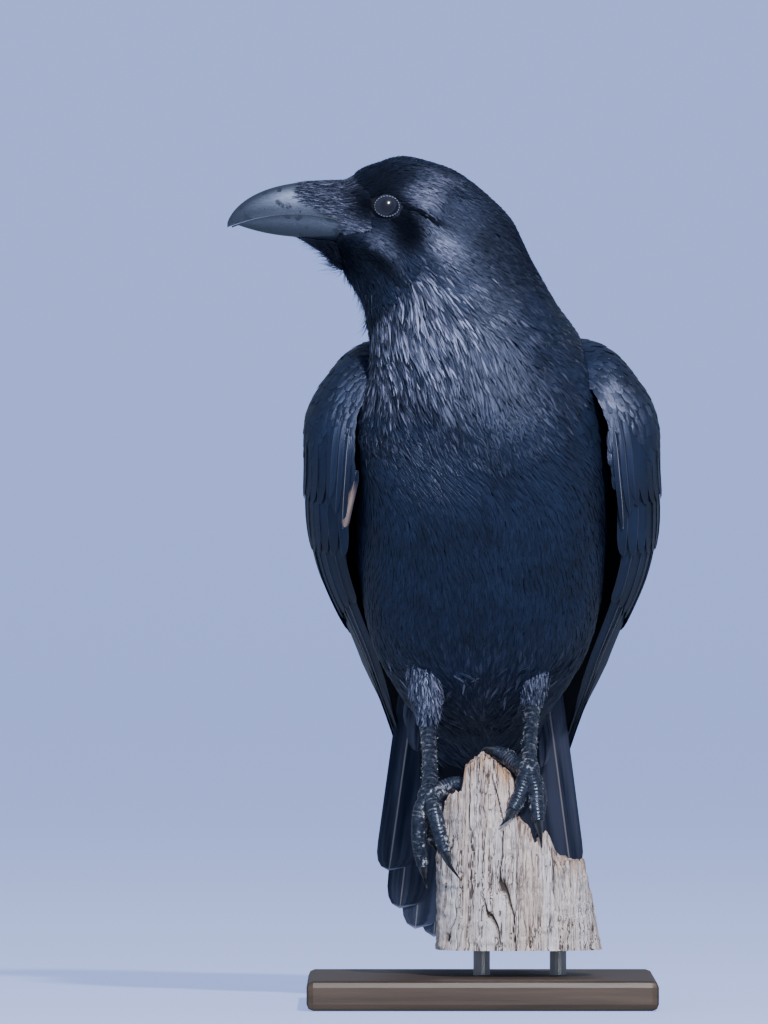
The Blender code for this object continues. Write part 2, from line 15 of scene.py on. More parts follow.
import bpy
import numpy as np
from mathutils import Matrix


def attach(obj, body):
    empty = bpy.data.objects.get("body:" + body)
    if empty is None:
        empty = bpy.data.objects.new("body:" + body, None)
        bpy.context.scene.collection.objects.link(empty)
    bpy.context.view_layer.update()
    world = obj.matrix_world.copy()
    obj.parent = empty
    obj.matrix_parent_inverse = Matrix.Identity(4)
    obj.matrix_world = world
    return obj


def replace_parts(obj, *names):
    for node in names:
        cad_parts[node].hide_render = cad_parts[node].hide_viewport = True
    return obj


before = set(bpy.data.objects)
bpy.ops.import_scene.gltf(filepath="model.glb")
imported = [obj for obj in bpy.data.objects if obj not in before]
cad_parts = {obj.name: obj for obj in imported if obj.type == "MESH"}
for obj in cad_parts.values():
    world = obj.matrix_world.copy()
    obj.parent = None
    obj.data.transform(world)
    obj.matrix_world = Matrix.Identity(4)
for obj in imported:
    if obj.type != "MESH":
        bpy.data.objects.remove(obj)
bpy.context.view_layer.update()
LOG = logging.getLogger("raven")
join = np.concatenate
Array = np.ndarray
Numbers = Array | float
Piece = bpy.types.Object
Socket = bpy.types.NodeSocket
BODY = "root"
HEAD_Y = -0.065
PATCH = 0.003
SHARP = math.radians(62)
STEP = 0.002


class Slot(Enum):
    """The finishes, by their slot names."""

    PLUMAGE = "plumage"
    BILL = "bill_horn"
    EYE = "eye"
    LEG = "leg_scales"
    CLAW = "claw_horn"
    WOOD = "dead_wood"
    BASE = "stand_wood"
    ROD = "stand_metal"


class Side(Enum):
    """The bird's own sides: the sign is that of X on the trunk."""

    RIGHT = -1
    LEFT = 1

    @property
    def word(self) -> str:
        """The side's name in lower case."""
        return self.name.lower()


# --- numbers and curves


def through(points: Sequence, at: Array, steps: Sequence | None = None) -> Array:
    """Values of a smooth curve that meets each point at its step.

    Between two steps it is the cubic that has both values and both slopes (a Hermite span).

    Args:
        points: One row of values for each step.
        at: Parameters to read, held between the first step and the last.
        steps: Rising parameters, or else 0, 1, 2 and so on.

    Returns:
        One row of values for each parameter.
    """
    values = np.asarray(points, float).reshape(len(points), -1)
    steps = np.arange(len(points), dtype=float) if steps is None else np.asarray(steps, float)
    at = np.clip(np.atleast_1d(at), steps[0], steps[-1])
    k = np.clip(np.searchsorted(steps, at, side="right") - 1, 0, len(steps) - 2)
    slopes = np.gradient(values, steps, axis=0)
    span = (steps[k + 1] - steps[k])[:, None]
    f = (at - steps[k])[:, None] / span
    return (
        values[k] * (1 + 2 * f) * (1 - f) ** 2
        + values[k + 1] * (3 - 2 * f) * f**2
        + slopes[k] * span * f * (1 - f) ** 2
        - slopes[k + 1] * span * (1 - f) * f**2
    )


def unit(vectors: Array) -> Array:
    """The vectors at length one."""
    return vectors / np.maximum(np.linalg.norm(vectors, axis=-1, keepdims=True), 1e-12)


def stack(*parts: Numbers) -> Array:
    """The parts as columns, each spread over the shape that they share."""
    return np.stack(np.broadcast_arrays(*parts), -1)


def bell(value: Array) -> Array:
    """One at zero, falling to nothing both ways: the exponential of minus the square."""
    return np.exp(-(value**2))


def turns(count: int) -> Array:
    """That many angles, evenly round a circle."""
    return np.arange(count) * tau / count


def lengths(line: Array) -> Array:
    """The length run at each point of a line, from 0."""
    return np.append(0, np.cumsum(np.linalg.norm(np.diff(line, axis=0), axis=-1)))


def rows_of(*parts: Numbers) -> tuple[tuple[int, ...], list[Array]]:
    """The shape that the parts share, and each of them at that shape as one row."""
    parts = np.broadcast_arrays(*parts)
    return parts[0].shape, [part.ravel() for part in parts]


def ramp(value: Array, low: float, high: float) -> Array:
    """Rises smoothly from 0 at low to 1 at high: three f squared less two f cubed."""
    f = np.clip((value - low) / (high - low), 0, 1)
    return f * f * (3 - 2 * f)


@dataclass(frozen=True)
class Noise:
    """Smooth value noise from a seeded lattice, about -1 to 1."""

    seed: int
    size: int = 24

    def at(self, x: Array, y: Array, z: float = 0) -> Array:
        """The noise at each place, read between the lattice's points with smooth weights.

        Args:
            x: First coordinates.
            y: Second ones.
            z: Third ones.

        Returns:
            A value for each place.
        """
        table = np.random.default_rng(self.seed).uniform(-1, 1, (self.size,) * 3)
        axes = np.broadcast_arrays(x, y, z)
        cells = [np.floor(a).astype(int) for a in axes]
        parts = [ramp(a - c, 0, 1) for a, c in zip(axes, cells)]
        total = np.zeros(axes[0].shape)
        for i, j, k in np.ndindex(2, 2, 2):
            weight = 1
            for p, near in zip(parts, (i, j, k)):
                weight = weight * (p if near else 1 - p)
            at = [(c + near) % self.size for c, near in zip(cells, (i, j, k))]
            total = total + weight * table[at[0], at[1], at[2]]
        return total


# --- meshes


@dataclass(frozen=True)
class Finish:
    """A material and the slot that it stands for."""

    material: bpy.types.Material
    slot: Slot

    def dress(self, piece: Piece) -> None:
        """Puts it on a piece, instead of any other.

        Args:
            piece: The piece.
        """
        piece.data.materials.clear()
        piece.data.materials.append(self.material)


def placed(name: str, data: bpy.types.ID) -> Piece:
    """A new object that holds the data, in the scene.

    Args:
        name: Its name.
        data: A mesh, light or camera.

    Returns:
        The object.
    """
    made = bpy.data.objects.new(name, data)
    bpy.context.scene.collection.objects.link(made)
    return made


def shaped(name: str, points: Array, faces: Sequence[Array]) -> Piece:
    """Makes a smoothly shaded object, at the origin, from whole arrays.

    Args:
        name: The object's name.
        points: Every vertex, one row each.
        faces: Arrays of vertex numbers, each with faces of one corner count.

    Returns:
        The object.
    """
    mesh = bpy.data.meshes.new(name)
    corners = join([np.ravel(group) for group in faces]).astype(np.int32)
    counts = join([np.full(len(group), group.shape[1]) for group in faces])
    mesh.vertices.add(len(points))
    mesh.vertices.foreach_set("co", np.ascontiguousarray(points, np.float32).ravel())
    mesh.loops.add(len(corners))
    mesh.loops.foreach_set("vertex_index", corners)
    mesh.polygons.add(len(counts))
    starts = join(([0], np.cumsum(counts)[:-1])).astype(np.int32)
    mesh.polygons.foreach_set("loop_start", starts)
    mesh.update(calc_edges=True)
    mesh.shade_smooth()
    mesh.set_sharp_from_angle(angle=SHARP)
    return placed(name, mesh)


def put_piece(name: str, points: Array, faces: Sequence[Array], finish: Finish) -> Piece:
    """Makes a piece in its finish that rides on the body, and reports it.

    Args:
        name: Its name.
        points: Every vertex.
        faces: Its faces by corner count.
        finish: Its finish.

    Returns:
        The object.
    """
    piece = shaped(name, points, faces)
    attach(piece, BODY)
    finish.dress(piece)
    LOG.info("%s: %d triangles", name, sum(len(group) * (group.shape[1] - 2) for group in faces))
    return piece


def give(piece: Piece, name: str, values: Array) -> None:
    """Stores four, three or one value for each vertex under that attribute name.

    Args:
        piece: The piece.
        name: The attribute.
        values: A row or number for each vertex.
    """
    if values.ndim == 1:
        values = np.repeat(values[:, None], 3, 1)
    kind, channel = ("FLOAT_COLOR", "color") if values.shape[1] == 4 else ("FLOAT_VECTOR", "vector")
    layer = piece.data.attributes.new(name, kind, "POINT")
    layer.data.foreach_set(channel, np.ascontiguousarray(values, np.float32).ravel())


def give_bake_map(piece: Piece, places: Array) -> None:
    """Writes the map that surface detail is baked by, from one place for each vertex.

    Args:
        piece: The piece.
        places: A place for each vertex.
    """
    corner = np.empty(len(piece.data.loops), np.int32)
    piece.data.loops.foreach_get("vertex_index", corner)
    layer = piece.data.uv_layers.new(name="OFBake")
    layer.uv.foreach_set("vector", np.ascontiguousarray(places[corner], np.float32).ravel())


def grid_faces(rows: int, columns: int) -> Array:
    """Quads between the rows of a grid, whose last column joins the first.

    Args:
        rows: Number of rows.
        columns: Points in a row.

    Returns:
        Vertex numbers by quad.
    """
    r, c = np.meshgrid(np.arange(rows - 1), np.arange(columns), indexing="ij")
    ahead = (c + 1) % columns
    quads = (r * columns + c, r * columns + ahead, (r + 1) * columns + ahead, (r + 1) * columns + c)
    return np.stack(quads, -1).reshape(-1, 4)


def lofted(rings: Array) -> tuple[Array, list[Array]]:
    """A closed body from rings: their points and two caps' middles, and its quads and triangles.

    Args:
        rings: Points by ring.

    Returns:
        The points, and the quads and triangles.
    """
    rows, columns = rings.shape[:2]
    points = join((rings.reshape(-1, 3), rings[0].mean(0)[None], rings[-1].mean(0)[None]))
    k = np.arange(columns)
    near, far = rows * columns, rows * columns + 1
    start = np.stack((np.full(columns, near), (k + 1) % columns, k), -1)
    last = (rows - 1) * columns
    end = np.stack((np.full(columns, far), last + k, last + (k + 1) % columns), -1)
    return points, [grid_faces(rows, columns), join((start, end))]


def facing_out(points: Array, faces: list[Array]) -> list[Array]:
    """The faces, turned over together if the body they close has a negative volume.

    Args:
        points: The body's vertices.
        faces: Its faces by corner count.

    Returns:
        The faces.
    """
    volume = 0
    for group in faces:
        a = points[group[:, 0]]
        for k in range(1, group.shape[1] - 1):
            volume += np.einsum("ij,ij->", a, np.cross(points[group[:, k]], points[group[:, k + 1]]))
    return faces if volume > 0 else [group[:, ::-1] for group in faces]


@dataclass
class Parts:
    """Closed bodies gathered into one piece."""

    points: list[Array] = field(default_factory=list)
    quads: list[Array] = field(default_factory=list)
    tris: list[Array] = field(default_factory=list)
    count: int = 0

    def add(self, rings: Array) -> None:
        """Adds the closed body through those rings, its faces outwards.

        Args:
            rings: Points by ring.
        """
        points, faces = lofted(rings)
        quads, tris = facing_out(points, faces)
        self.points.append(points)
        self.quads.append(quads + self.count)
        self.tris.append(tris + self.count)
        self.count += len(points)

    def piece(self, name: str, finish: Finish) -> Piece:
        """Makes the object that holds every body added so far."""
        faces = [join(self.quads), join(self.tris)]
        return put_piece(name, join(self.points), faces, finish)


def closed_piece(name: str, rings: Array, finish: Finish) -> Piece:
    """A piece that is the one closed body through those rings.

    Args:
        name: Its name.
        rings: Points by ring.
        finish: Its finish.

    Returns:
        The object.
    """
    parts = Parts()
    parts.add(rings)
    return parts.piece(name, finish)


def tube(points: Sequence, radii: Sequence, rows: int, sides: int) -> tuple[Array, Array, Array]:
    """Round rings along a smooth curve, each square to it, with no twist between them.

    Args:
        points: The curve's own points.
        radii: A radius at each.
        rows: Number of rings.
        sides: Points in each ring.

    Returns:
        The rings, the way outwards at each of their points, and the length run at each ring.
    """
    at = np.linspace(0, len(points) - 1, rows)
    line, thick = through(points, at), through(radii, at)
    ways = unit(np.gradient(line, axis=0))
    sides_at = np.empty_like(line)
    side = np.cross(ways[0], (0, -1, 0.3))
    for k, way in enumerate(ways):
        side = unit(side - way * (side @ way))
        sides_at[k] = side
    ups = np.cross(ways, sides_at)
    angle = turns(sides)
    out = np.cos(angle)[None, :, None] * sides_at[:, None] + np.sin(angle)[None, :, None] * ups[:, None]
    return line[:, None] + out * thick[:, None], out, lengths(line)


# --- the forms that feathers lie on


class Form:
    """A surface of two parameters that feathers lie on.

    Subclasses give point(); flow is the step in the parameters that runs with the feathers, and
    outward is 1 where the cross product of the two parameters' directions points out, else -1.
    """

    flow = (1, 0)
    outward = 1

    def point(self, u: Array, v: Array, rise: Numbers = 0) -> Array:
        """The surface's points, lifted by rise."""
        raise NotImplementedError

    def tangents(self, u: Array, v: Array) -> tuple[Array, Array, Array]:
        """The change with u and with v, by central differences, and the unit normal outwards.

        Args:
            u: First parameters.
            v: Second parameters.

        Returns:
            Both changes and the normal.
        """
        e = STEP
        along = (self.point(u + e, v) - self.point(u - e, v)) / (2 * e)
        around = (self.point(u, v + e) - self.point(u, v - e)) / (2 * e)
        return along, around, unit(np.cross(along, around)) * self.outward

    def lie(self, u: Array, v: Array) -> tuple[Array, ...]:
        """Both tangents, the normal, the way that feathers run and the way aside from it.

        Args:
            u: First parameters.
            v: Second parameters.

        Returns:
            Five arrays of vectors.
        """
        along, around, up = self.tangents(u, v)
        ahead = unit(along * self.flow[0] + around * self.flow[1])
        return along, around, up, ahead, np.cross(up, ahead)

    def fall(self, u: Array, v: Array) -> Array:
        """The turn from the flow that would let a feather hang straight down."""
        *_, ahead, aside = self.lie(u, v)
        return np.arctan2(-aside[:, 2], -ahead[:, 2])

    def trail(
        self, u: Array, v: Array, heading: Array, length: Array, rows: Array
    ) -> tuple[Array, Array, Array]:
        """Follows the surface from each root: a step's change in u and v solves the metric.

        Args:
            u: First parameters of the roots.
            v: Second parameters of the roots.
            heading: Turn of each feather from the flow.
            length: Length of each.
            rows: Shares of the length to stop at.

        Returns:
            Points and normals by feather and row, and both parameters by row.
        """
        spots, ups, places = [], [], []
        for k, share in enumerate(rows):
            along, around, up, ahead, aside = self.lie(u, v)
            way = ahead * np.cos(heading)[:, None] + aside * np.sin(heading)[:, None]
            spots.append(self.point(u, v))
            ups.append(up)
            places.append(stack(u, v))
            if k + 1 < len(rows):
                step = way * (length * (rows[k + 1] - share))[:, None]
                pairs = ((along, along), (along, around), (around, around), (along, step), (around, step))
                e, f, g, a, b = ((one * other).sum(-1) for one, other in pairs)
                room = np.maximum(e * g - f * f, 1e-12)
                u = u + (a * g - b * f) / room
                v = v + (b * e - a * f) / room
        return tuple(np.stack(group, 1) for group in (spots, ups, places))


@dataclass(frozen=True)
class Mark:
    """Something alike on both cheeks, an oval in the head's own plane: a painted glint, painted shade, or a
    swelling.
    """

    x: float
    z: float
    reach_x: float
    reach_z: float
    turn: float
    amount: float
    sharpness: float = 1.5

    def at(self, points: Array) -> Array:
        """How much there is: a bell over a power of the turned oval's squared distance.

        Args:
            points: Where to read it.

        Returns:
            An amount for each point.
        """
        cos, sin = math.cos(math.radians(self.turn)), math.sin(math.radians(self.turn))
        x, z = points[..., 0] - self.x, points[..., 2] - self.z
        along, across = (x * cos + z * sin) / self.reach_x, (z * cos - x * sin) / self.reach_z
        return self.amount * np.exp(-((along**2 + across**2) ** self.sharpness))


@dataclass(frozen=True)
class BodyForm(Form):
    """The outer form of head, neck and trunk: u counts stations from vent to brow, v is the angle.

    Each row of stations is x, y, z of the middle, turn and tilt in degrees, depth and width.
    """

    flow = (-1, 0)
    outward = -1
    roundness: float = 2.15
    fullness: float = 0.95
    mantle: float = 0.019
    stations: tuple = (
        (0, 0.131, 0.113, 0, 33, 0.005, 0.016),
        (0, 0.107, 0.145, 0, 33, 0.013, 0.033),
        (0, 0.083, 0.175, 0, 35, 0.028, 0.04),
        (0, 0.062, 0.199, 0, 35, 0.048, 0.054),
        (0, 0.037, 0.231, 0, 35, 0.065, 0.068),
        (0, 0.009, 0.27, 0, 35, 0.075, 0.075),
        (0, -0.016, 0.308, 0, 35, 0.079, 0.0765),
        (0, -0.039, 0.342, -3, 35, 0.0775, 0.0745),
        (-0.0045, -0.055, 0.371, -19, 35, 0.07, 0.0672),
        (-0.0115, -0.063, 0.396, -38, 35, 0.0618, 0.0582),
        (-0.0185, -0.065, 0.417, -58, 36, 0.057, 0.0522),
        (-0.025, -0.065, 0.4365, -76, 40, 0.0555, 0.045),
        (-0.034, -0.065, 0.4515, -90, 46, 0.0513, 0.0385),
        (-0.043, -0.065, 0.461, -90, 54.5, 0.049, 0.0335),
        (-0.0525, -0.065, 0.4665, -90, 62.5, 0.046, 0.029),
        (-0.0627, -0.065, 0.4712, -90, 69.5, 0.0422, 0.0255),
        (-0.0717, -0.065, 0.4721, -90, 75, 0.0363, 0.0222),
        (-0.0786, -0.065, 0.4733, -90, 79.5, 0.0302, 0.0168),
        (-0.0837, -0.065, 0.4735, -90, 83.5, 0.0239, 0.0118),
        (-0.0865, -0.065, 0.4735, -90, 85, 0.015, 0.008),
    )
    swells: tuple[Mark, ...] = (
        Mark(-0.056, 0.4905, 0.012, 0.0045, 0, 0.0012, 1),
        Mark(-0.07, 0.48, 0.006, 0.006, 0, -0.0018, 1),
        Mark(-0.047, 0.4645, 0.009, 0.008, 0, -0.0026, 1),
        Mark(-0.027, 0.464, 0.01, 0.011, 0, 0.001, 1),
        Mark(-0.06, 0.455, 0.01, 0.006, 0, 0.0008, 1),
    )

    def axes(self, u: Array) -> tuple[Array, Array, Array, Array, Array]:
        """Middle, left, back, depth and width of the section at each station number.

        Args:
            u: Station numbers.

        Returns:
            Points, two arrays of ways, and two of sizes.
        """
        x, y, z, turn, tilt, depth, width = through(self.stations, u).T
        turn, tilt = np.radians(turn), np.radians(tilt)
        left = stack(np.cos(turn), np.sin(turn), 0)
        back = stack(-np.sin(turn) * np.cos(tilt), np.cos(turn) * np.cos(tilt), np.sin(tilt))
        return stack(x, y, z), left, back, depth, width

    def point(self, u: Array, v: Array, rise: Numbers = 0) -> Array:
        """A rounded oval's points: those where the powers of both shares sum to one.

        The breast's front is fuller: there the roundness, which is the power, is greater. The
        mantle between the wings is thicker.

        Args:
            u: Station numbers.
            v: Angles.
            rise: Height over the form.

        Returns:
            The points.
        """
        shape, (u, v, rise) = rows_of(u, v, rise)
        middle, left, back, depth, width = self.axes(u)
        cos, sin = np.cos(v), np.sin(v)
        breast = ramp(u, 2.8, 5) * ramp(-u, -9.8, -8) * ramp(-sin, -0.1, 0.6)
        power = self.roundness + self.fullness * breast
        reach = (np.abs(cos) ** power + np.abs(sin) ** power) ** (-1 / power)
        across, along = cos * reach, sin * reach
        mantle = self.mantle * ramp(u, 3, 5.5) * ramp(-u, -9, -7.2) * ramp(sin, 0.1, 0.85)
        depth = depth + mantle
        plain = middle + left * (across * width)[:, None] + back * (along * depth)[:, None]
        lift = rise + ramp(u, 12, 13.5) * sum(swell.at(plain) for swell in self.swells)
        found = middle + left * (across * (width + lift))[:, None]
        found = found + back * (along * (depth + lift))[:, None]
        return found.reshape(*shape, 3)


@dataclass(frozen=True)
class WingForm(Form):
    """The folded wing's outer face: u runs from shoulder to tip, v from its front edge to its rear.

    Across, it is the parabola through front, crest and rear lines; spread draws it to the body.
    """

    side: Side
    steps: tuple = (0, 0.05, 0.12, 0.3, 0.5, 0.7, 0.85, 1)
    front: tuple = (
        (0.046, -0.05, 0.383), (0.064, -0.06, 0.379), (0.0765, -0.068, 0.364),
        (0.0845, -0.068, 0.313), (0.082, -0.032, 0.257), (0.064, 0.045, 0.197),
        (0.049, 0.13, 0.137), (0.03, 0.187, 0.047),
    )
    crest: tuple = (
        (0.049, -0.036, 0.4015), (0.074, -0.042, 0.3965), (0.096, -0.043, 0.374),
        (0.1065, -0.019, 0.319), (0.1015, 0.018, 0.266), (0.075, 0.072, 0.205),
        (0.052, 0.139, 0.144), (0.027, 0.194, 0.049),
    )
    rear: tuple = (
        (0.04, -0.012, 0.402), (0.054, -0.006, 0.398), (0.062, 0.013, 0.387),
        (0.06, 0.053, 0.338), (0.05, 0.088, 0.275), (0.042, 0.119, 0.211),
        (0.034, 0.158, 0.141), (0.024, 0.201, 0.053),
    )
    spread: dict = field(default_factory=lambda: {Side.RIGHT: (1.015, 0.88), Side.LEFT: (1, 0.98)})

    @property
    def outward(self) -> float:
        """Positive on the left wing, because the right one is its mirror image."""
        return float(self.side.value)

    def flat(self, u: Array, v: Array) -> Array:
        """The face itself, run on in straight lines past both its ends.

        Args:
            u: Shares of the length.
            v: Shares of the width.

        Returns:
            The points.
        """
        shape, (u, v) = rows_of(u, v)
        v = v[:, None]
        lines = []
        for line in (self.front, self.crest, self.rear):
            inside = through(line, u, self.steps)
            ends = through(line, np.array((0, 0.01, 0.99, 1)), self.steps)
            before = (ends[1] - ends[0]) * 100 * np.minimum(u, 0)[:, None]
            after = (ends[3] - ends[2]) * 100 * np.maximum(u - 1, 0)[:, None]
            lines.append(inside + before + after)
        front, crest, rear = lines
        face = front * (1 - v) * (1 - 2 * v) + crest * 4 * v * (1 - v) + rear * v * (2 * v - 1)
        near, far = self.spread[self.side]
        face[:, 0] *= self.side.value * (near + (far - near) * np.clip(u, 0, 1) ** 1.5)
        return face.reshape(*shape, 3)

    def point(self, u: Array, v: Array, rise: Numbers = 0) -> Array:
        """The face's points, moved out along its normal by rise.

        Args:
            u: Shares of the length.
            v: Shares of the width.
            rise: Height over it.

        Returns:
            The points.
        """
        here, e = self.flat(u, v), STEP
        along = self.flat(u + e, v) - self.flat(u - e, v)
        around = self.flat(u, v + e) - self.flat(u, v - e)
        out = unit(np.cross(along, around)) * self.outward
        return here + out * np.broadcast_to(rise, here.shape[:-1])[..., None]


@dataclass(frozen=True)
class TailForm(Form):
    """The fan of the tail's middle layer: u runs down its length in metres, v across it in metres.

    It slopes down and back, and sinks to both sides by 1.6 times the square of the distance.
    """

    outward = -1
    root: tuple = (0, 0.063, 0.233)
    slope: float = math.radians(57)

    def point(self, u: Array, v: Array, rise: Numbers = 0) -> Array:
        """Points of the fan; rise is towards the back.

        Args:
            u: Lengths down it.
            v: Distances across.
            rise: Height over it.

        Returns:
            The points.
        """
        down = np.array((0, math.cos(self.slope), -math.sin(self.slope)))
        over = np.array((0, math.sin(self.slope), math.cos(self.slope)))
        u, v, rise = (part[..., None] for part in np.broadcast_arrays(u, v, rise))
        return np.array(self.root) + down * u + over * (rise - 1.6 * v**2) + np.array((1, 0, 0)) * v


@dataclass(frozen=True)
class LimbForm(Form):
    """A round limb: u counts the points of its path, v is the angle round it."""

    path: tuple
    radii: tuple
    outward = -1

    def point(self, u: Array, v: Array, rise: Numbers = 0) -> Array:
        """Points at the radius plus rise from the smooth path, square to its way.

        Args:
            u: Numbers along the path.
            v: Angles.
            rise: Height over it.

        Returns:
            The points.
        """
        shape, (u, v, rise) = rows_of(u, v, rise)
        middle = through(self.path, u)
        radius = through(self.radii, u)[:, 0] + rise
        way = unit(through(self.path, u + 0.05) - through(self.path, u - 0.05))
        across = unit(np.cross(way, (0, 1, 0.2)))
        up = np.cross(way, across)
        found = middle + across * (radius * np.cos(v))[:, None] + up * (radius * np.sin(v))[:, None]
        return found.reshape(*shape, 3)


# --- feathers


@dataclass(frozen=True)
class PaintedLightMarks:
    """Painted light on the face, the same for skin and coat: pale painted glints, and dark painted shade
    over its hollows.
    """

    # painted glints: pale patches above and behind the eye, over the ear coverts, the malar and the crown
    pale: tuple[Mark, ...] = (
        Mark(-0.0385, 0.487, 0.0115, 0.0095, 20, 0.42),
        Mark(-0.0335, 0.4672, 0.014, 0.0068, -55, 0.36),
        Mark(-0.0245, 0.457, 0.013, 0.008, -38, 0.28),
        Mark(-0.062, 0.4575, 0.012, 0.006, -38, 0.26),
        Mark(-0.029, 0.4985, 0.014, 0.004, -20, 0.16),
    )
    # painted shade: dark round the eye, over the lores, brow and chin, in the hollow under and behind the
    # eye, along a line behind it and on the neck behind the head
    painted_shade: tuple[Mark, ...] = (
        Mark(-0.069, 0.479, 0.008, 0.011, 0, 0.35),
        Mark(-0.057, 0.48, 0.0125, 0.0105, 0, 1),
        Mark(-0.047, 0.465, 0.012, 0.011, 25, 1),
        Mark(-0.06, 0.497, 0.019, 0.009, 12, 0.75),
        Mark(-0.063, 0.448, 0.016, 0.0045, -38, 0.8),
        Mark(-0.037, 0.4762, 0.014, 0.0016, -21, 1),
        Mark(0.008, 0.456, 0.033, 0.019, -58, 0.62),
        Mark(-0.084, 0.452, 0.02, 0.009, -38, 0.9),
    )

    def at(self, points: Array) -> tuple[Array, Array]:
        """The painted glint share and the painted shade share at each point.

        Args:
            points: Where to read them.

        Returns:
            Both shares, each from 0 to 1.
        """
        pale = np.clip(sum(mark.at(points) for mark in self.pale), 0, 1)
        painted_shade = np.clip(sum(mark.at(points) for mark in self.painted_shade), 0, 1)
        return pale * (1 - painted_shade), painted_shade


PAINTED_LIGHT_MARKS = PaintedLightMarks()


@dataclass(frozen=True)
class Vane:
    """The shape that all feathers of one kind share: a thin closed body with a raised shaft.

    Rows run from the root to the tip, the last one a single point; columns run across, -1 to 1.
    Its underside joins its two edges, directly or by a second shaft below.
    """

    rows: tuple[float, ...]
    widths: tuple[float, ...]
    columns: tuple[float, ...] = (-1, 0, 1)
    ridges: tuple[float, ...] = (0, 0.3, 0)
    droop: float = 0
    keel: float | None = None

    @property
    def ring(self) -> Array:
        """Places across of a row's vertices, the shaft below last where there is one."""
        return np.array(self.columns if self.keel is None else (*self.columns, 0))

    def faces(self, count: int) -> list[Array]:
        """Quads, triangles and root caps for that many feathers, laid out one after another.

        Args:
            count: Number of feathers.

        Returns:
            Vertex numbers by corner count.
        """
        rows, columns = len(self.rows) - 1, len(self.ring)
        last, tip = (rows - 1) * columns, rows * columns
        k = np.arange(columns)
        ends = np.stack((last + k, last + (k + 1) % columns, np.full(columns, tip)), -1)
        shift = (np.arange(count) * (tip + 1))[:, None, None]
        groups = (grid_faces(rows, columns), ends, k[::-1][None])
        return [(group[None] + shift).reshape(-1, group.shape[1]) for group in groups]

    def bodies(self, line: Array, ups: Array, half: Array, roll: Array, lean: float = 0) -> Array:
        """Every vertex: the shaft's line plus the way across and the camber over it.

        Args:
            line: Points of each shaft by row.
            ups: Ways outwards by row, which are made square to the shaft here.
            half: Greatest half width of each feather.
            roll: Turn of each feather about its shaft.
            lean: Share by which the vane before the shaft is narrower than the one behind.

        Returns:
            Points by feather and vertex.
        """
        ways = unit(np.gradient(line, axis=1))
        ups = unit(ups - ways * (ups * ways).sum(-1, keepdims=True))
        across = unit(np.cross(ways, ups))
        cos, sin = np.cos(roll)[:, None, None], np.sin(roll)[:, None, None]
        across, up = across * cos + ups * sin, ups * cos - across * sin
        reach = self.ring * (1 + lean * np.sign(self.ring))
        width = half[:, None] * np.array(self.widths)
        ridges = self.ridges if self.keel is None else (*self.ridges, self.keel)
        sag = np.array(ridges) - self.droop * self.ring**2
        flat = line[:, :-1, None] + across[:, :-1, None] * (width[..., None] * reach)[..., None]
        flat = flat + up[:, :-1, None] * (width[..., None] * sag)[..., None]
        count = len(line)
        return join((flat.reshape(count, -1, 3), line[:, -1:]), 1)


class Kind(Enum):
    """Shapes of feather, from the face's tufts to the flight feathers."""

    TUFT = Vane((0, 0.4, 0.8, 1), (0.55, 1, 0.62))
    HAIR = Vane((0, 0.3, 0.6, 0.85, 1), (0.9, 1, 0.8, 0.5), ridges=(0, 0.8, 0))
    HACKLE = Vane((0, 0.25, 0.5, 0.75, 0.9, 1), (0.5, 0.9, 1, 0.72, 0.36), ridges=(0, 0.34, 0))
    SCALE = Vane(
        (0, 0.3, 0.6, 0.82, 0.94, 1), (0.55, 0.92, 1, 0.84, 0.5), (-1, -0.5, 0, 0.5, 1),
        (0, 0.08, 0.12, 0.08, 0), 0.07,
    )
    COVERT = Vane(
        (0, 0.15, 0.3, 0.45, 0.6, 0.75, 0.87, 0.95, 1), (0.45, 0.8, 0.95, 1, 1, 0.94, 0.74, 0.45),
        (-1, -0.6, -0.08, 0, 0.08, 0.6, 1), (0, 0.05, 0.07, 0.12, 0.07, 0.05, 0), 0.08, -0.03,
    )
    FLIGHT = Vane(
        tuple(join((np.linspace(0, 0.86, 17), (0.91, 0.95, 0.98, 1)))),
        tuple(join((np.linspace(0.55, 1, 4), np.ones(13), (0.97, 0.83, 0.55)))),
        (-1, -0.75, -0.4, -0.07, 0, 0.07, 0.4, 0.75, 1),
        (0, 0.03, 0.05, 0.06, 0.115, 0.06, 0.05, 0.03, 0), 0.05, -0.05,
    )
    PRIMARY = Vane(
        tuple(join((np.linspace(0, 0.8, 17), (0.87, 0.93, 0.975, 1)))),
        tuple(join((np.linspace(0.55, 1, 4), np.linspace(1, 0.86, 13), (0.7, 0.5, 0.28)))),
        (-1, -0.75, -0.4, -0.07, 0, 0.07, 0.4, 0.75, 1),
        (0, 0.03, 0.05, 0.06, 0.13, 0.06, 0.05, 0.03, 0), 0.05, -0.05,
    )


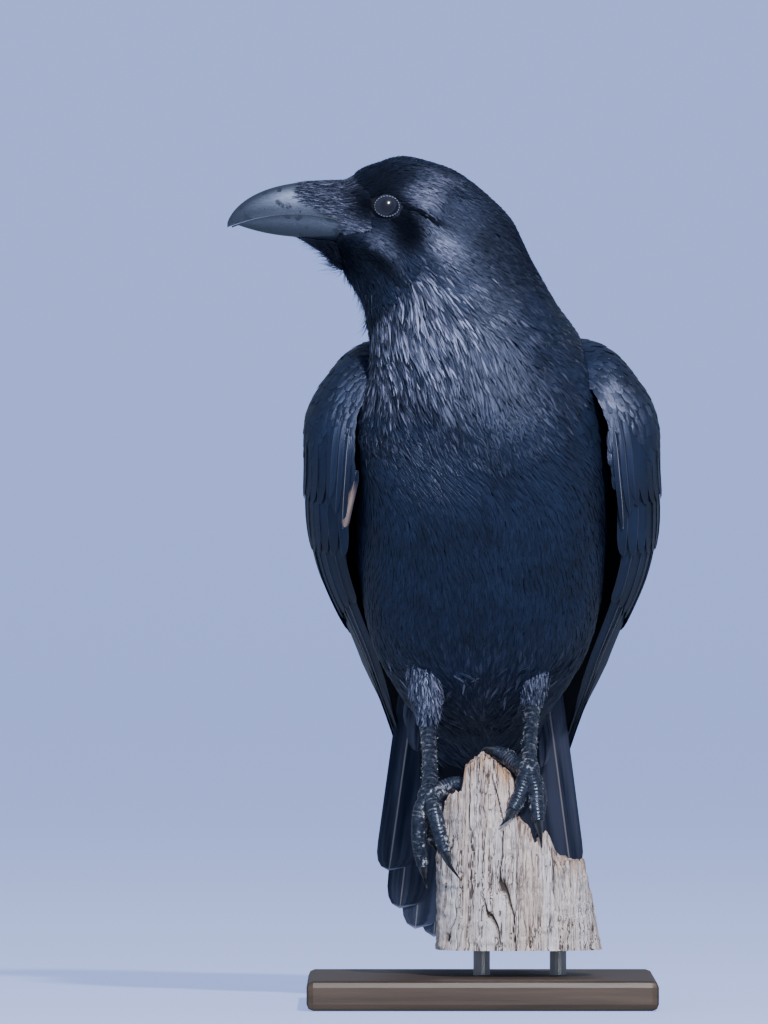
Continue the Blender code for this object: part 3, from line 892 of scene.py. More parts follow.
@dataclass
class Coat:
    """One coat piece: feathers of one kind or several, with their looks and their bake map.

    Looks hold for each vertex a feather's own chance, its paleness, which on plumage is painted
    glint and painted light, its painted shade and its shaft's paleness. The vane attribute holds
    the place across, the place along and the barbs' distance.
    """

    name: str
    seed: int
    faces: dict[int, list[Array]] = field(default_factory=dict)
    rows: dict[str, list[Array]] = field(default_factory=dict)
    total: int = 0

    def __post_init__(self) -> None:
        """Seeds the piece's own chance."""
        self.chance = np.random.default_rng(self.seed)

    def spread(self, count: int, amount: float) -> Array:
        """That many numbers about zero, of that deviation, held within twice of it."""
        return np.clip(self.chance.normal(0, amount, count), -2 * amount, 2 * amount)

    def rare(self, roots: Array, power: float) -> Array:
        """A number from 0 to 1 for each root, seldom high at a high power."""
        return self.chance.uniform(0, 1, len(roots)) ** power

    def lay(
        self, kind: Kind, form: Form, u: Array, v: Array, length: Numbers, half: Numbers,
        depth: tuple[Numbers, Numbers], heading: Numbers = 0, loose: float = 0.05, roll: Numbers = 0.06,
        pale: Numbers = 0, shaft: float = 0, curl: Numbers = 0,
    ) -> None:
        """Lays feathers on a form, their roots deep in the coat and their tips at its surface.

        Args:
            kind: Their shape.
            form: The surface.
            u: First parameters of the roots.
            v: Second parameters of the roots.
            length: Length of each.
            half: Half width of each.
            depth: Depths of the roots and of the tips.
            heading: Turn from the form's flow.
            loose: Unevenness of heading, size and lift.
            roll: Unevenness of the turn about the shaft.
            pale: Paleness on top of the marks' painted glints; on plumage it is painted glint and painted
                light.
            shaft: How pale the shafts are.
            curl: Rise of the tip, as a share of the length.
        """
        vane = kind.value
        count = len(u)
        if not count:
            return
        rows = np.array(vane.rows)
        length = np.broadcast_to(length, count) * (1 + self.spread(count, loose))
        half = np.broadcast_to(half, count) * (1 + self.spread(count, loose))
        heading = np.broadcast_to(heading, count) + self.spread(count, 1.6 * loose)
        line, ups, places = form.trail(u, v, heading, length, rows)
        lift = self.spread(count, loose * 0.25)[:, None] * length[:, None] * rows
        deep, high = (np.broadcast_to(d, count)[:, None] for d in depth)
        rise = -deep + (deep - high) * rows**1.3
        turned = np.broadcast_to(curl, count)[:, None] * length[:, None] * rows**3
        line = line + ups * (rise + lift + turned)[..., None]
        roll = np.broadcast_to(roll, count) * self.spread(count, 1)
        # the face's painted glints and painted shade, read at each root
        shown = PAINTED_LIGHT_MARKS.at(line[:, 0])
        own = self.chance.uniform(0, 1, count)
        self.keep(
            vane, vane.bodies(line, ups, half, roll), length, half,
            stack(own, np.clip(shown[0] + pale, 0, 1), shown[1], shaft), places[:, 0],
        )

    def keep(
        self, vane: Vane, points: Array, length: Array, half: Array, looks: Array, roots: Array
    ) -> None:
        """Stores finished feathers: their points, looks, vane places and roots.

        Args:
            vane: Their shape.
            points: Vertices by feather.
            length: Length of each.
            half: Half width of each.
            looks: Four numbers for each.
            roots: Where each grows, in the form's parameters.
        """
        count, each = points.shape[:2]
        across = np.append(np.tile(vane.ring, len(vane.rows) - 1), 0)
        along = np.append(np.repeat(vane.rows[:-1], len(vane.ring)), 1)
        width = np.append(np.repeat(vane.widths, len(vane.ring)), 0)
        barb = along * length[:, None] - 0.8 * np.abs(across) * width * half[:, None]
        places = stack(across, along, barb * 1000)
        local = stack((across * width + 1) / 2, along) - 0.5
        for group in vane.faces(count):
            self.faces.setdefault(group.shape[1], []).append(group + self.total)
        for key, rows in (
            ("points", points.reshape(-1, 3)), ("looks", np.repeat(looks, each, 0)),
            ("vane", places.reshape(-1, 3)), ("roots", np.repeat(roots, each, 0)),
            ("patch", np.tile(local, (count, 1))),
        ):
            self.rows.setdefault(key, []).append(rows)
        self.total += count * each

    def piece(self, finish: Finish) -> Piece:
        """Makes the coat piece, with its attributes and its bake map.

        Args:
            finish: Its finish.

        Returns:
            The object.
        """
        rows = {key: join(groups) for key, groups in self.rows.items()}
        faces = [join(groups) for groups in self.faces.values()]
        piece = put_piece(self.name, rows["points"], faces, finish)
        give(piece, "looks", rows["looks"])
        give(piece, "vane", rows["vane"])
        low, high = rows["roots"].min(0), rows["roots"].max(0)
        share = (rows["roots"] - low) / np.maximum(high - low, 1e-9)
        give_bake_map(piece, PATCH / 2 + share * (1 - PATCH) + rows["patch"] * PATCH)
        return piece


def staggered(
    form: Form, u: Array, v: tuple[float, float], across: float, along: float, seed: int
) -> tuple[Array, Array]:
    """Roots in offset rows over part of a form, evenly apart and a little uneven.

    Rows stand along apart, measured half way across; each holds as many roots as fit across.

    Args:
        form: The surface.
        u: Fine, even parameters from the first row's to the last one's.
        v: First and last second parameter.
        across: Distance between roots in a row.
        along: Distance between rows.
        seed: Seed of the unevenness.

    Returns:
        The two parameters of every root.
    """
    chance = np.random.default_rng(seed)
    fine = np.linspace(*v, 49)
    mesh = form.point(u[:, None], fine[None])
    run = np.linalg.norm(np.diff(mesh, axis=0), axis=-1).mean(1)
    run = np.append(0, np.cumsum(run))
    rows = np.interp(np.arange(0, run[-1], along), run, u)
    firsts, seconds = [], []
    for k, row in enumerate(rows):
        arc = form.point(np.full(49, row), fine)
        reach = lengths(arc)
        count = max(int(reach[-1] / across), 2)
        spots = (np.arange(count) + 0.25 + 0.5 * (k % 2)) / count
        spots = spots + chance.uniform(-0.22, 0.22, count) / count
        step = (rows[1] - rows[0]) if len(rows) > 1 else 0
        firsts.append(row + chance.uniform(-0.3, 0.3, count) * step)
        seconds.append(np.interp(spots * reach[-1], reach, fine))
    return join(firsts), join(seconds)


# --- finishes


class Book:
    """One material's nodes: its number sockets take part in Python expressions."""

    def __init__(self, slot: Slot | None, name: str = "") -> None:
        """Starts an empty material for a slot, with its output node.

        Args:
            slot: The slot it stands for, if any.
            name: Its name, or else the slot's.
        """
        self.slot = slot
        self.material = bpy.data.materials.new(name or slot.value)
        self.material.use_nodes = True
        self.tree = self.material.node_tree
        self.tree.nodes.clear()
        self.output = self.tree.nodes.new("ShaderNodeOutputMaterial")

    def node(self, kind: str, settings: dict | None = None, inputs: dict | None = None) -> bpy.types.Node:
        """Adds a node.

        Args:
            kind: Its type.
            settings: Properties, set first.
            inputs: Values or links by socket name, identifier or number.

        Returns:
            The node.
        """
        made = self.tree.nodes.new(kind)
        for key, value in (settings or {}).items():
            setattr(made, key, value)
        for key, value in (inputs or {}).items():
            if isinstance(key, int):
                socket = made.inputs[key]
            else:
                socket = next(s for s in made.inputs if key in (s.identifier, s.name))
            if isinstance(value, Number):
                value = value.socket
            if isinstance(value, Socket):
                self.tree.links.new(value, socket)
            else:
                socket.default_value = value
        return made

    def attribute(self, name: str) -> list["Number"]:
        """The three parts of a stored vector or colour, and its fourth.

        Args:
            name: The attribute.

        Returns:
            Four numbers.
        """
        read = self.node("ShaderNodeAttribute", {"attribute_name": name})
        parts = self.node("ShaderNodeSeparateXYZ", inputs={"Vector": read.outputs["Vector"]})
        return [Number(self, out) for out in (*parts.outputs, read.outputs["Alpha"])]

    def place(self, scale: Sequence[float] = (1, 1, 1)) -> Socket:
        """Object coordinates, stretched by a Mapping node."""
        where = self.node("ShaderNodeTexCoord").outputs["Object"]
        return self.node("ShaderNodeMapping", inputs={"Vector": where, "Scale": scale}).outputs[0]

    def noise(self, scale: float, detail: float = 3, vector: object = None) -> "Number":
        """Cloudy noise, about 0 to 1.

        Args:
            scale: How fine it is.
            detail: How many finer layers it has.
            vector: Where to read it, or else object coordinates.

        Returns:
            The value.
        """
        where = self.place() if vector is None else vector
        made = self.node("ShaderNodeTexNoise", inputs={"Vector": where, "Scale": scale, "Detail": detail})
        return Number(self, made.outputs[0])

    def rise(self, value: "Number", low: float, high: float) -> "Number":
        """Smoothly from 0 at low to 1 at high.

        Args:
            value: What is read.
            low: Where the rise starts.
            high: Where it ends.

        Returns:
            The share.
        """
        made = self.node(
            "ShaderNodeMapRange", {"interpolation_type": "SMOOTHSTEP"},
            {"Value": value, "From Min": low, "From Max": high},
        )
        return Number(self, made.outputs[0])

    def mix(self, near: object, far: object, share: "Number") -> Socket:
        """A colour between two colours; the node holds the share between 0 and 1.

        Args:
            near: The colour at 0.
            far: The colour at 1.
            share: How much of the second.

        Returns:
            The colour.
        """
        near, far = ((*c, 1) if isinstance(c, tuple) and len(c) == 3 else c for c in (near, far))
        made = self.node(
            "ShaderNodeMix", {"data_type": "RGBA"}, {"Factor_Float": share, "A_Color": near, "B_Color": far},
        )
        return next(s for s in made.outputs if s.identifier == "Result_Color")

    def bump(self, height: "Number", distance: float, strength: float = 1) -> Socket:
        """A normal from a height, in metres at height 1.

        Args:
            height: The height.
            distance: Metres at height 1.
            strength: Share of it.

        Returns:
            The normal.
        """
        made = self.node(
            "ShaderNodeBump", inputs={"Height": height, "Distance": distance, "Strength": strength}
        )
        return made.outputs[0]

    def finish(self, inputs: dict) -> Finish:
        """Ends the material with a Principled shader of those inputs.

        Args:
            inputs: Values or links by socket.

        Returns:
            The finish.
        """
        shader = self.node("ShaderNodeBsdfPrincipled", inputs=inputs)
        self.tree.links.new(shader.outputs[0], self.output.inputs[0])
        return Finish(self.material, self.slot)


@dataclass(frozen=True)
class Number:
    """A number socket; an operator on it adds a Math node."""

    book: Book
    socket: Socket

    def joined(self, operation: str, *values: object) -> "Number":
        """The Math node of that operation on those values."""
        made = self.book.node("ShaderNodeMath", {"operation": operation}, dict(enumerate(values)))
        return Number(self.book, made.outputs[0])

    def __add__(self, other: object) -> "Number":
        """self + other."""
        return self.joined("ADD", self, other)

    def __sub__(self, other: object) -> "Number":
        """self - other."""
        return self.joined("SUBTRACT", self, other)

    def __rsub__(self, other: object) -> "Number":
        """other - self."""
        return self.joined("SUBTRACT", other, self)

    def __mul__(self, other: object) -> "Number":
        """self * other."""
        return self.joined("MULTIPLY", self, other)

    def __abs__(self) -> "Number":
        """The size of self."""
        return self.joined("ABSOLUTE", self)

    def sine(self) -> "Number":
        """The sine of self, in radians."""
        return self.joined("SINE", self)

    def within(self) -> "Number":
        """self held between 0 and 1."""
        made = self.book.node("ShaderNodeClamp", inputs={"Value": self})
        return Number(self.book, made.outputs[0])

    __radd__ = __add__
    __rmul__ = __mul__


@dataclass(frozen=True)
class Plumage:
    """Glossy blue-black feathers: violet glints, partly painted in a lilac tone, painted shade over the
    face's hollows, pale shafts, faintly worn edges.
    """

    black: tuple = (0.0055, 0.0078, 0.0155)
    blue: tuple = (0.013, 0.023, 0.058)
    # the lilac tone of painted glints and painted light, also the pale rim at the tips
    pale: tuple = (0.38, 0.4, 0.59)
    worn: tuple = (0.02, 0.019, 0.024)
    shaft: tuple = (0.26, 0.24, 0.25)
    tan: tuple = (0.26, 0.175, 0.145)
    gloss: float = 0.31

    def make(self) -> Finish:
        """Builds it.

        The colour runs from black to blue with the feather's own chance and broad noise, then to
        the worn tone along its edge, the pale tone of painted glints and painted light where the
        looks' pale share is, black under the painted shade, and the shaft's tone on its shaft.
        Barbs are a sine of the barb distance, 0.55 mm apart; streaks are noise drawn out along
        each feather.

        Returns:
            The finish.
        """
        book = Book(Slot.PLUMAGE)
        own, pale, painted_shade, shaft = book.attribute("looks")
        across, along, barb, _ = book.attribute("vane")
        broad = book.noise(38)
        run = book.node("ShaderNodeCombineXYZ", inputs={0: across * 2.6, 1: along * 1.3, 2: own * 61})
        streak = book.noise(1, 3, run.outputs[0])
        base = book.mix(self.black, self.blue, own * 0.32 + broad * 0.9 + streak * 0.45 - 0.48)
        edge = book.rise(abs(across), 0.75, 1) * book.rise(along, 0.35, 1)
        base = book.mix(base, self.worn, edge * (0.2 + own * 0.4))
        # painted glints and painted light: the lilac tone where the pale share is
        base = book.mix(base, self.pale, pale * book.rise(streak + own * 0.25, 0.42, 0.8))
        # painted shade: black over the face's hollows
        base = book.mix(base, self.black, painted_shade)
        bleached = (shaft - 1) * (streak + 0.35) * (1 - book.rise(abs(across), 0.3, 0.95) * 0.8)
        base = book.mix(base, self.tan, bleached * book.rise(along, 0.15, 0.55))
        stem = (1 - book.rise(abs(across), 0.015, 0.05)) * shaft
        base = book.mix(base, self.shaft, stem)
        rim = book.rise(along + abs(across) * 0.012, 0.985, 0.999) * book.rise(shaft, 0.6, 0.8)
        base = book.mix(base, self.pale, rim * 0.55)
        rough = self.gloss + own * 0.16 + painted_shade * 0.45 + streak * 0.12 - 0.08
        barbs = (barb * (tau / 0.55)).sine() * 0.5 + 0.5
        return book.finish({
            "Base Color": base, "Roughness": rough.within(), "Metallic": (painted_shade * 0.85).within(),
            "Specular Tint": (0.55, 0.65, 1, 1),
            "Normal": book.bump(barbs * 0.2 + streak * 1.6, 0.00035, 0.5),
        })


@dataclass(frozen=True)
class Skin:
    """Dull dark skin under the coat, with the coat's painted glints, for where it shows through."""

    dark: tuple = (0.0045, 0.006, 0.011)
    pale: tuple = (0.03, 0.032, 0.045)

    def make(self) -> Finish:
        """Builds it: the painted glint marks mix the two tones, and pores are fine noise.

        Returns:
            The finish.
        """
        book = Book(Slot.PLUMAGE, "skin")
        # pale: the face's painted glints, carried onto the skin
        _, pale, _, _ = book.attribute("looks")
        pores = book.noise(1400, 2)
        return book.finish({
            "Base Color": book.mix(self.dark, self.pale, pale * 0.6 + pores * 0.15),
            "Roughness": (pores * 0.2 + 0.75).within(), "Specular Tint": (0.6, 0.67, 1, 1),
            "Normal": book.bump(pores, 0.0002, 0.4),
        })


@dataclass(frozen=True)
class Horn:
    """Black horn of bill or claws: long scratches, worn bluish-grey along its ridges, with painted sheen in
    the same tone on the bill's flanks and the claws' fronts.
    """

    slot: Slot
    dark: tuple
    # tone of worn horn, and of the painted sheen on bill and claws
    worn: tuple
    rough: float
    scale: tuple[float, float, float]
    gloss: float = 0.5
    varnish: float = 0.25

    def make(self) -> Finish:
        """Builds it.

        The wear and sheen attribute, real wear plus painted reflections and highlights, brings up the
        worn tone, broken by stretched noise; the same noise gives scratches to the roughness and the
        bump.

        Returns:
            The finish.
        """
        book = Book(self.slot)
        wear_and_sheen = book.attribute("wear_and_sheen")[0]
        streak = book.noise(1, 5, book.place(self.scale))
        cloud = book.noise(160)
        shown = wear_and_sheen * (book.rise(streak, 0.3, 0.7) * 0.3 + 0.7) - book.rise(cloud, 0.58, 0.66) * 0.3
        return book.finish({
            "Base Color": book.mix(self.dark, self.worn, shown),
            "Roughness": (self.rough + streak * 0.1 + wear_and_sheen * 0.1 - 0.04).within(),
            "Specular Tint": (0.8, 0.86, 1, 1), "Specular IOR Level": self.gloss,
            "Coat Weight": (self.varnish - wear_and_sheen * 0.2).within(), "Coat Roughness": 0.16,
            "Normal": book.bump(streak * 0.6 + cloud * 0.3, 0.0001, 0.4),
        })


@dataclass(frozen=True)
class Scutes:
    """Black leg scales with pale, crumbling edges."""

    dark: tuple = (0.007, 0.0095, 0.018)
    slate: tuple = (0.038, 0.048, 0.076)
    crumb: tuple = (0.56, 0.57, 0.61)

    def make(self) -> Finish:
        """Builds it: the scale attribute holds the seam's nearness and the crumbling share.

        Returns:
            The finish.
        """
        book = Book(Slot.LEG)
        seam, crumbs, _, _ = book.attribute("scale")
        fine = book.noise(2600)
        coarse = book.noise(420)
        cloud = book.noise(150, 2)
        plate = book.mix(self.dark, self.slate, coarse * 1.4 - 0.45)
        worn = seam * book.rise(cloud + fine * 0.5, 0.76, 1) * 0.35
        shown = worn + crumbs * book.rise(coarse + fine * 0.6 + cloud * 0.5, 1.1, 1.28)
        return book.finish({
            "Base Color": book.mix(plate, self.crumb, shown),
            "Roughness": (0.22 + shown * 0.5 + fine * 0.1).within(), "Specular Tint": (0.7, 0.8, 1, 1),
            "Normal": book.bump(fine * 0.5 + coarse * 0.5 + shown * 0.5, 0.00025, 0.6),
        })


@dataclass(frozen=True)
class Eyeball:
    """A dark slate iris round a black pupil under a wet cornea."""

    iris: tuple = (0.011, 0.013, 0.029)
    rim: tuple = (0.006, 0.008, 0.015)
    pupil: tuple = (0.004, 0.005, 0.011)

    def make(self) -> Finish:
        """Builds it: the gaze attribute is the distance from the pupil's middle, 1 at the rim.

        Returns:
            The finish.
        """
        book = Book(Slot.EYE)
        away, turn, _, _ = book.attribute("gaze")
        grain = book.noise(1100, 4)
        rays = (turn * 46).sine() * 0.5 + 0.5
        iris = book.mix(self.iris, self.pupil, grain * 0.7 + rays * 0.2 - 0.15)
        colour = book.mix(self.pupil, iris, book.rise(away, 0.34, 0.5))
        colour = book.mix(colour, self.rim, book.rise(away, 0.78, 0.96))
        return book.finish({
            "Base Color": colour, "Roughness": (grain * 0.1 + 0.16).within(),
            "Coat Weight": (1 - book.rise(away, 0.97, 1) * 0.3).within(), "Coat Roughness": 0.015,
            "Normal": book.bump(grain, 0.00005, 0.3),
        })


@dataclass(frozen=True)
class Lid:
    """Black bare skin round the eye with a row of beads, their crowns pale with a painted glint."""

    skin: tuple = (0.008, 0.009, 0.014)
    # painted glint: the pale tone of light caught on the lids' beaded rim
    bead_glint: tuple = (0.34, 0.39, 0.56)

    def make(self) -> Finish:
        """Builds it: the bead glint attribute is 1 on a bead's crown, where the pale painted glint goes.

        Returns:
            The finish.
        """
        book = Book(Slot.EYE, "lid_skin")
        bead_glint = book.attribute("bead_glint")[0]
        fine = book.noise(2200)
        shown = bead_glint * book.rise(fine, 0.22, 0.55)
        return book.finish({
            "Base Color": book.mix(self.skin, self.bead_glint, shown), "Roughness": (0.45 + fine * 0.2).within(),
            "Normal": book.bump(fine, 0.00012, 0.5),
        })


@dataclass(frozen=True)
class DeadWood:
    """Bleached grey-beige wood, split along the grain, still tan where it broke."""

    grey: tuple = (0.6, 0.565, 0.59)
    beige: tuple = (0.5, 0.38, 0.32)
    tan: tuple = (0.42, 0.23, 0.12)
    dark: tuple = (0.055, 0.038, 0.033)

    def make(self) -> Finish:
        """Builds it.

        Noise stretched along the height gives the grain: broad bands of two tones, and thin dark
        lines where it crosses its middle value. The split attribute holds painted shade in the
        cracks' valleys on the sides and dark grain lines on the top, and the share of freshly broken
        wood.

        Returns:
            The finish.
        """
        book = Book(Slot.WOOD)
        crack_shade_and_grain, broken, _, _ = book.attribute("split")
        bands = book.noise(1, 4, book.place((110, 110, 7)))
        grain = book.noise(1, 5, book.place((330, 330, 13)))
        fibre = book.noise(1, 3, book.place((1100, 1100, 42)))
        cloud = book.noise(24)
        wood = book.mix(self.grey, self.beige, bands * 2.4 + fibre * 0.6 - 1.05)
        fresh = broken * book.rise(grain + cloud * 0.5, 0.55, 0.95)
        wood = book.mix(wood, self.tan, fresh)
        lines = 1 - book.rise(abs(grain - 0.5), 0, 0.035)
        hairs = 1 - book.rise(abs(fibre - 0.5), 0, 0.05)
        gate = book.rise(cloud, 0.4, 0.62)
        # painted shade darkens the cracks' valleys; the lines and hairs are dark grain
        deep = lines * (gate * 0.75 + 0.36) + hairs * 0.36 + crack_shade_and_grain * 1.3
        wood = book.mix(wood, self.dark, deep)
        return book.finish({
            "Base Color": wood, "Roughness": (0.7 + fibre * 0.2).within(),
            "Normal": book.bump(fibre * 0.4 - lines * 0.6 - hairs * 0.3, 0.0007, 0.8),
        })


@dataclass(frozen=True)
class StandWood:
    """Dark, evenly grained wood with a satin finish."""

    dark: tuple = (0.03, 0.02, 0.015)
    warm: tuple = (0.08, 0.052, 0.035)

    def make(self) -> Finish:
        """Builds it: noise stretched along X gives grain and open pores.

        Returns:
            The finish.
        """
        book = Book(Slot.BASE)
        grain = book.noise(1, 5, book.place((9, 190, 190)))
        pores = book.noise(1, 2, book.place((60, 1300, 1300)))
        return book.finish({
            "Base Color": book.mix(self.dark, self.warm, grain * 1.7 - 0.4),
            "Roughness": (0.36 + pores * 0.16).within(),
            "Normal": book.bump(pores * 0.6 + grain * 0.4, 0.00015, 0.5),
        })


@dataclass(frozen=True)
class RodSteel:
    """Satin steel, brushed along the rod."""

    tone: tuple = (0.32, 0.32, 0.33)
    bright: tuple = (0.5, 0.5, 0.51)

    def make(self) -> Finish:
        """Builds it: noise stretched along Z gives the brush marks.

        Returns:
            The finish.
        """
        book = Book(Slot.ROD)
        brush = book.noise(1, 2, book.place((3000, 3000, 60)))
        return book.finish({
            "Base Color": book.mix(self.tone, self.bright, brush), "Metallic": 1,
            "Roughness": (0.26 + brush * 0.14).within(), "Normal": book.bump(brush, 0.00003, 0.4),
        })


# --- the bird


@dataclass(frozen=True)
class Limb:
    """A leg's path from knee to ankle, its foot's pad, and its toes with their claws."""

    knee: tuple
    thigh: tuple
    shank: tuple
    ankle: tuple
    pad: tuple
    toes: dict[str, tuple]
    claws: dict[str, tuple]

    @property
    def upper(self) -> tuple:
        """The path of the feathered thigh."""
        return (self.knee, self.thigh, self.shank, self.ankle)

    @property
    def tarsus(self) -> tuple:
        """The path of the bare shank, straight from ankle to pad."""
        ankle, pad = np.array(self.ankle), np.array(self.pad)
        return tuple(tuple(ankle * (1 - share) + pad * share) for share in (0, 0.35, 0.7, 1))


THIGH_RADII = (0.022, 0.014, 0.0108, 0.0066)
LIMBS = {
    Side.RIGHT: Limb(
        knee=(-0.038, -0.014, 0.253), thigh=(-0.0355, -0.012, 0.217), shank=(-0.033, -0.006, 0.187),
        ankle=(-0.032, 0.001, 0.168), pad=(-0.0308, -0.04, 0.127),
        toes={
            "hind": ((-0.0225, -0.037, 0.1315), (-0.0155, -0.0365, 0.134), (-0.01, -0.0375, 0.1325)),
            "inner": ((-0.029, -0.049, 0.119), (-0.0262, -0.054, 0.1075), (-0.0225, -0.056, 0.093)),
            "middle": ((-0.0365, -0.043, 0.118), (-0.0378, -0.042, 0.101), (-0.0355, -0.038, 0.085)),
            "outer": ((-0.0335, -0.03, 0.12), (-0.033, -0.02, 0.11), (-0.0305, -0.011, 0.101)),
        },
        claws={
            "hind": ((-0.0068, -0.0385, 0.129), (-0.0042, -0.04, 0.1205)),
            "inner": ((-0.019, -0.057, 0.085), (-0.0132, -0.0565, 0.077)),
            "middle": ((-0.0345, -0.0365, 0.078), (-0.033, -0.033, 0.071)),
            "outer": ((-0.0285, -0.006, 0.096), (-0.0255, -0.004, 0.09)),
        },
    ),
    Side.LEFT: Limb(
        knee=(0.038, -0.014, 0.257), thigh=(0.0345, -0.012, 0.225), shank=(0.032, -0.006, 0.199),
        ankle=(0.0305, 0.002, 0.181), pad=(0.0274, -0.042, 0.1418),
        toes={
            "hind": ((0.0205, -0.035, 0.1455), (0.014, -0.03, 0.1505), (0.008, -0.028, 0.1533)),
            "inner": ((0.024, -0.051, 0.132), (0.021, -0.0565, 0.124), (0.018, -0.06, 0.118)),
            "middle": ((0.0315, -0.05, 0.132), (0.0325, -0.055, 0.1215), (0.0336, -0.0575, 0.112)),
            "outer": ((0.0325, -0.033, 0.1335), (0.0345, -0.023, 0.124), (0.0345, -0.0135, 0.115)),
        },
        claws={
            "hind": ((0.0015, -0.0275, 0.1542), (-0.0033, -0.0285, 0.1485)),
            "inner": ((0.0148, -0.0615, 0.113), (0.0105, -0.06, 0.1088)),
            "middle": ((0.035, -0.058, 0.1035), (0.0358, -0.0555, 0.0959)),
            "outer": ((0.034, -0.009, 0.109), (0.0325, -0.007, 0.1025)),
        },
    ),
}
TORSO = BodyForm()
THIGHS = {side: LimbForm(limb.upper, THIGH_RADII) for side, limb in LIMBS.items()}


@dataclass(frozen=True)
class Flesh:
    """One skin under the whole coat: head, neck and trunk, both thighs and both folded arms."""

    finish: Finish
    rings: int = 190
    sides: int = 120
    depths: tuple = ((0, 0.003), (3, 0.006), (9, 0.006), (11.5, 0.0045), (13.5, 0.0024), (19, 0.0014))
    arm_depth: float = 0.005
    arm_thickness: float = 0.0085

    def depth(self, u: Array) -> Array:
        """Depth of the coat at each station."""
        return np.interp(u, *zip(*self.depths))

    def build(self) -> None:
        """Joins the closed forms of body, thighs and arms in one piece."""
        parts = Parts()
        u = np.linspace(0, len(TORSO.stations) - 1, self.rings)[:, None]
        angle = turns(self.sides)[None]
        parts.add(TORSO.point(u, angle, -self.depth(u)))
        angle = turns(28)[None]
        for form in THIGHS.values():
            parts.add(form.point(np.linspace(0, 3, 30)[:, None], angle, -0.0035))
        for side in Side:
            form = WingForm(side)
            s = np.linspace(0, 0.8, 50)[:, None]
            t = np.linspace(0.05, 0.95, 22)[None]
            thick = self.arm_thickness * (1 - 0.8 * s / 0.8) * np.sin(pi * (0.1 + 0.8 * t))
            outer = form.point(s, t, -self.arm_depth * (1 - 0.5 * s))
            inner = form.point(s, t, -self.arm_depth * (1 - 0.5 * s) - 0.0008 - thick)
            parts.add(join((outer, inner[:, ::-1]), 1))
        skin = parts.piece("skin", self.finish)
        # the face's painted glints and painted shade, stored for the skin
        pale, painted_shade = PAINTED_LIGHT_MARKS.at(join(parts.points))
        give(skin, "looks", stack(0, pale, painted_shade, 0))
        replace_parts(skin, "head", "neck", "trunk", "thigh_left", "thigh_right")


@dataclass(frozen=True)
class Eye:
    """One eyeball with its cornea, and the beaded lids round it."""

    side: Side
    wet: Finish
    bare: Finish
    radius: float = 0.0082
    x: float = -0.057
    z: float = 0.4799
    out: float = 0.0212
    opening: tuple[float, float] = (0.0072, 0.006)
    beads: int = 26

    @property
    def sign(self) -> float:
        """Which way along Y the eye looks: the left one to -Y."""
        return -float(self.side.value)

    def ball(self) -> None:
        """A sphere round the line of sight, its radius up by a bell round the cornea's middle."""
        away = np.linspace(0.02, pi - 0.02, 56)[:, None]
        turn = turns(64)[None]
        radius = self.radius * (1 + 0.03 * bell(away / 0.75))
        rings = stack(
            self.x + radius * np.sin(away) * np.cos(turn),
            HEAD_Y + self.sign * (self.out + radius * np.cos(away)),
            self.z + radius * np.sin(away) * np.sin(turn),
        )
        piece = closed_piece(f"eyeball_{self.side.word}", rings, self.wet)
        away = np.append((away + 0 * turn).ravel(), (0, pi)) / math.asin(0.0076 / self.radius)
        turn = np.append((turn + 0 * radius).ravel(), (0, 0))
        give(piece, "gaze", stack(away, turn, 0))
        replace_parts(piece, f"eye_{self.side.word}")

    def lids(self) -> None:
        """A ring of skin: a closed profile, with beads on its crest, carried round the opening.

        The profile's stops are shares of the opening and heights over the eyeball.
        """
        turn = turns(self.beads * 8)[:, None]
        share = np.array((0.955, 0.97, 0.99, 1.015, 1.05, 1.08, 1.11, 1.18, 1.27, 1.36, 1.36, 1.2))[None]
        lift = np.array((-0.1, 0.2, 0.36, 0.5, 0.5, 0.34, 0.05, -0.2, -0.7, -1.6, -3, -3)) / 1000
        crest = np.array((0, 0, 0.1, 1, 0.7, 0, 0, 0, 0, 0, 0, 0), float)[None]
        bump = np.abs(np.sin(turn * self.beads / 2)) ** 3
        x = share * self.opening[0] * np.cos(turn)
        z = share * self.opening[1] * np.sin(turn)
        away = np.hypot(x, z)
        round_eye = np.sqrt(np.maximum(self.radius**2 - np.minimum(away, self.radius * 0.985) ** 2, 0))
        cheek = 0.0036 + 0.1 * np.abs(x)
        out = round_eye + (np.minimum(cheek, round_eye) - round_eye) * ramp(share, 1.1, 1.4)
        out = out + lift + crest * (bump - 0.6) * 0.0003
        points = stack(self.x + x, HEAD_Y + self.sign * (self.out + out), self.z + z)
        rows, columns = points.shape[:2]
        faces = grid_faces(rows + 1, columns) % (rows * columns)
        faces = facing_out(points.reshape(-1, 3), [faces])
        piece = put_piece(f"lids_{self.side.word}", points.reshape(-1, 3), faces, self.bare)
        # the share of the lids' painted glint
        give(piece, "bead_glint", (crest * bump).ravel())


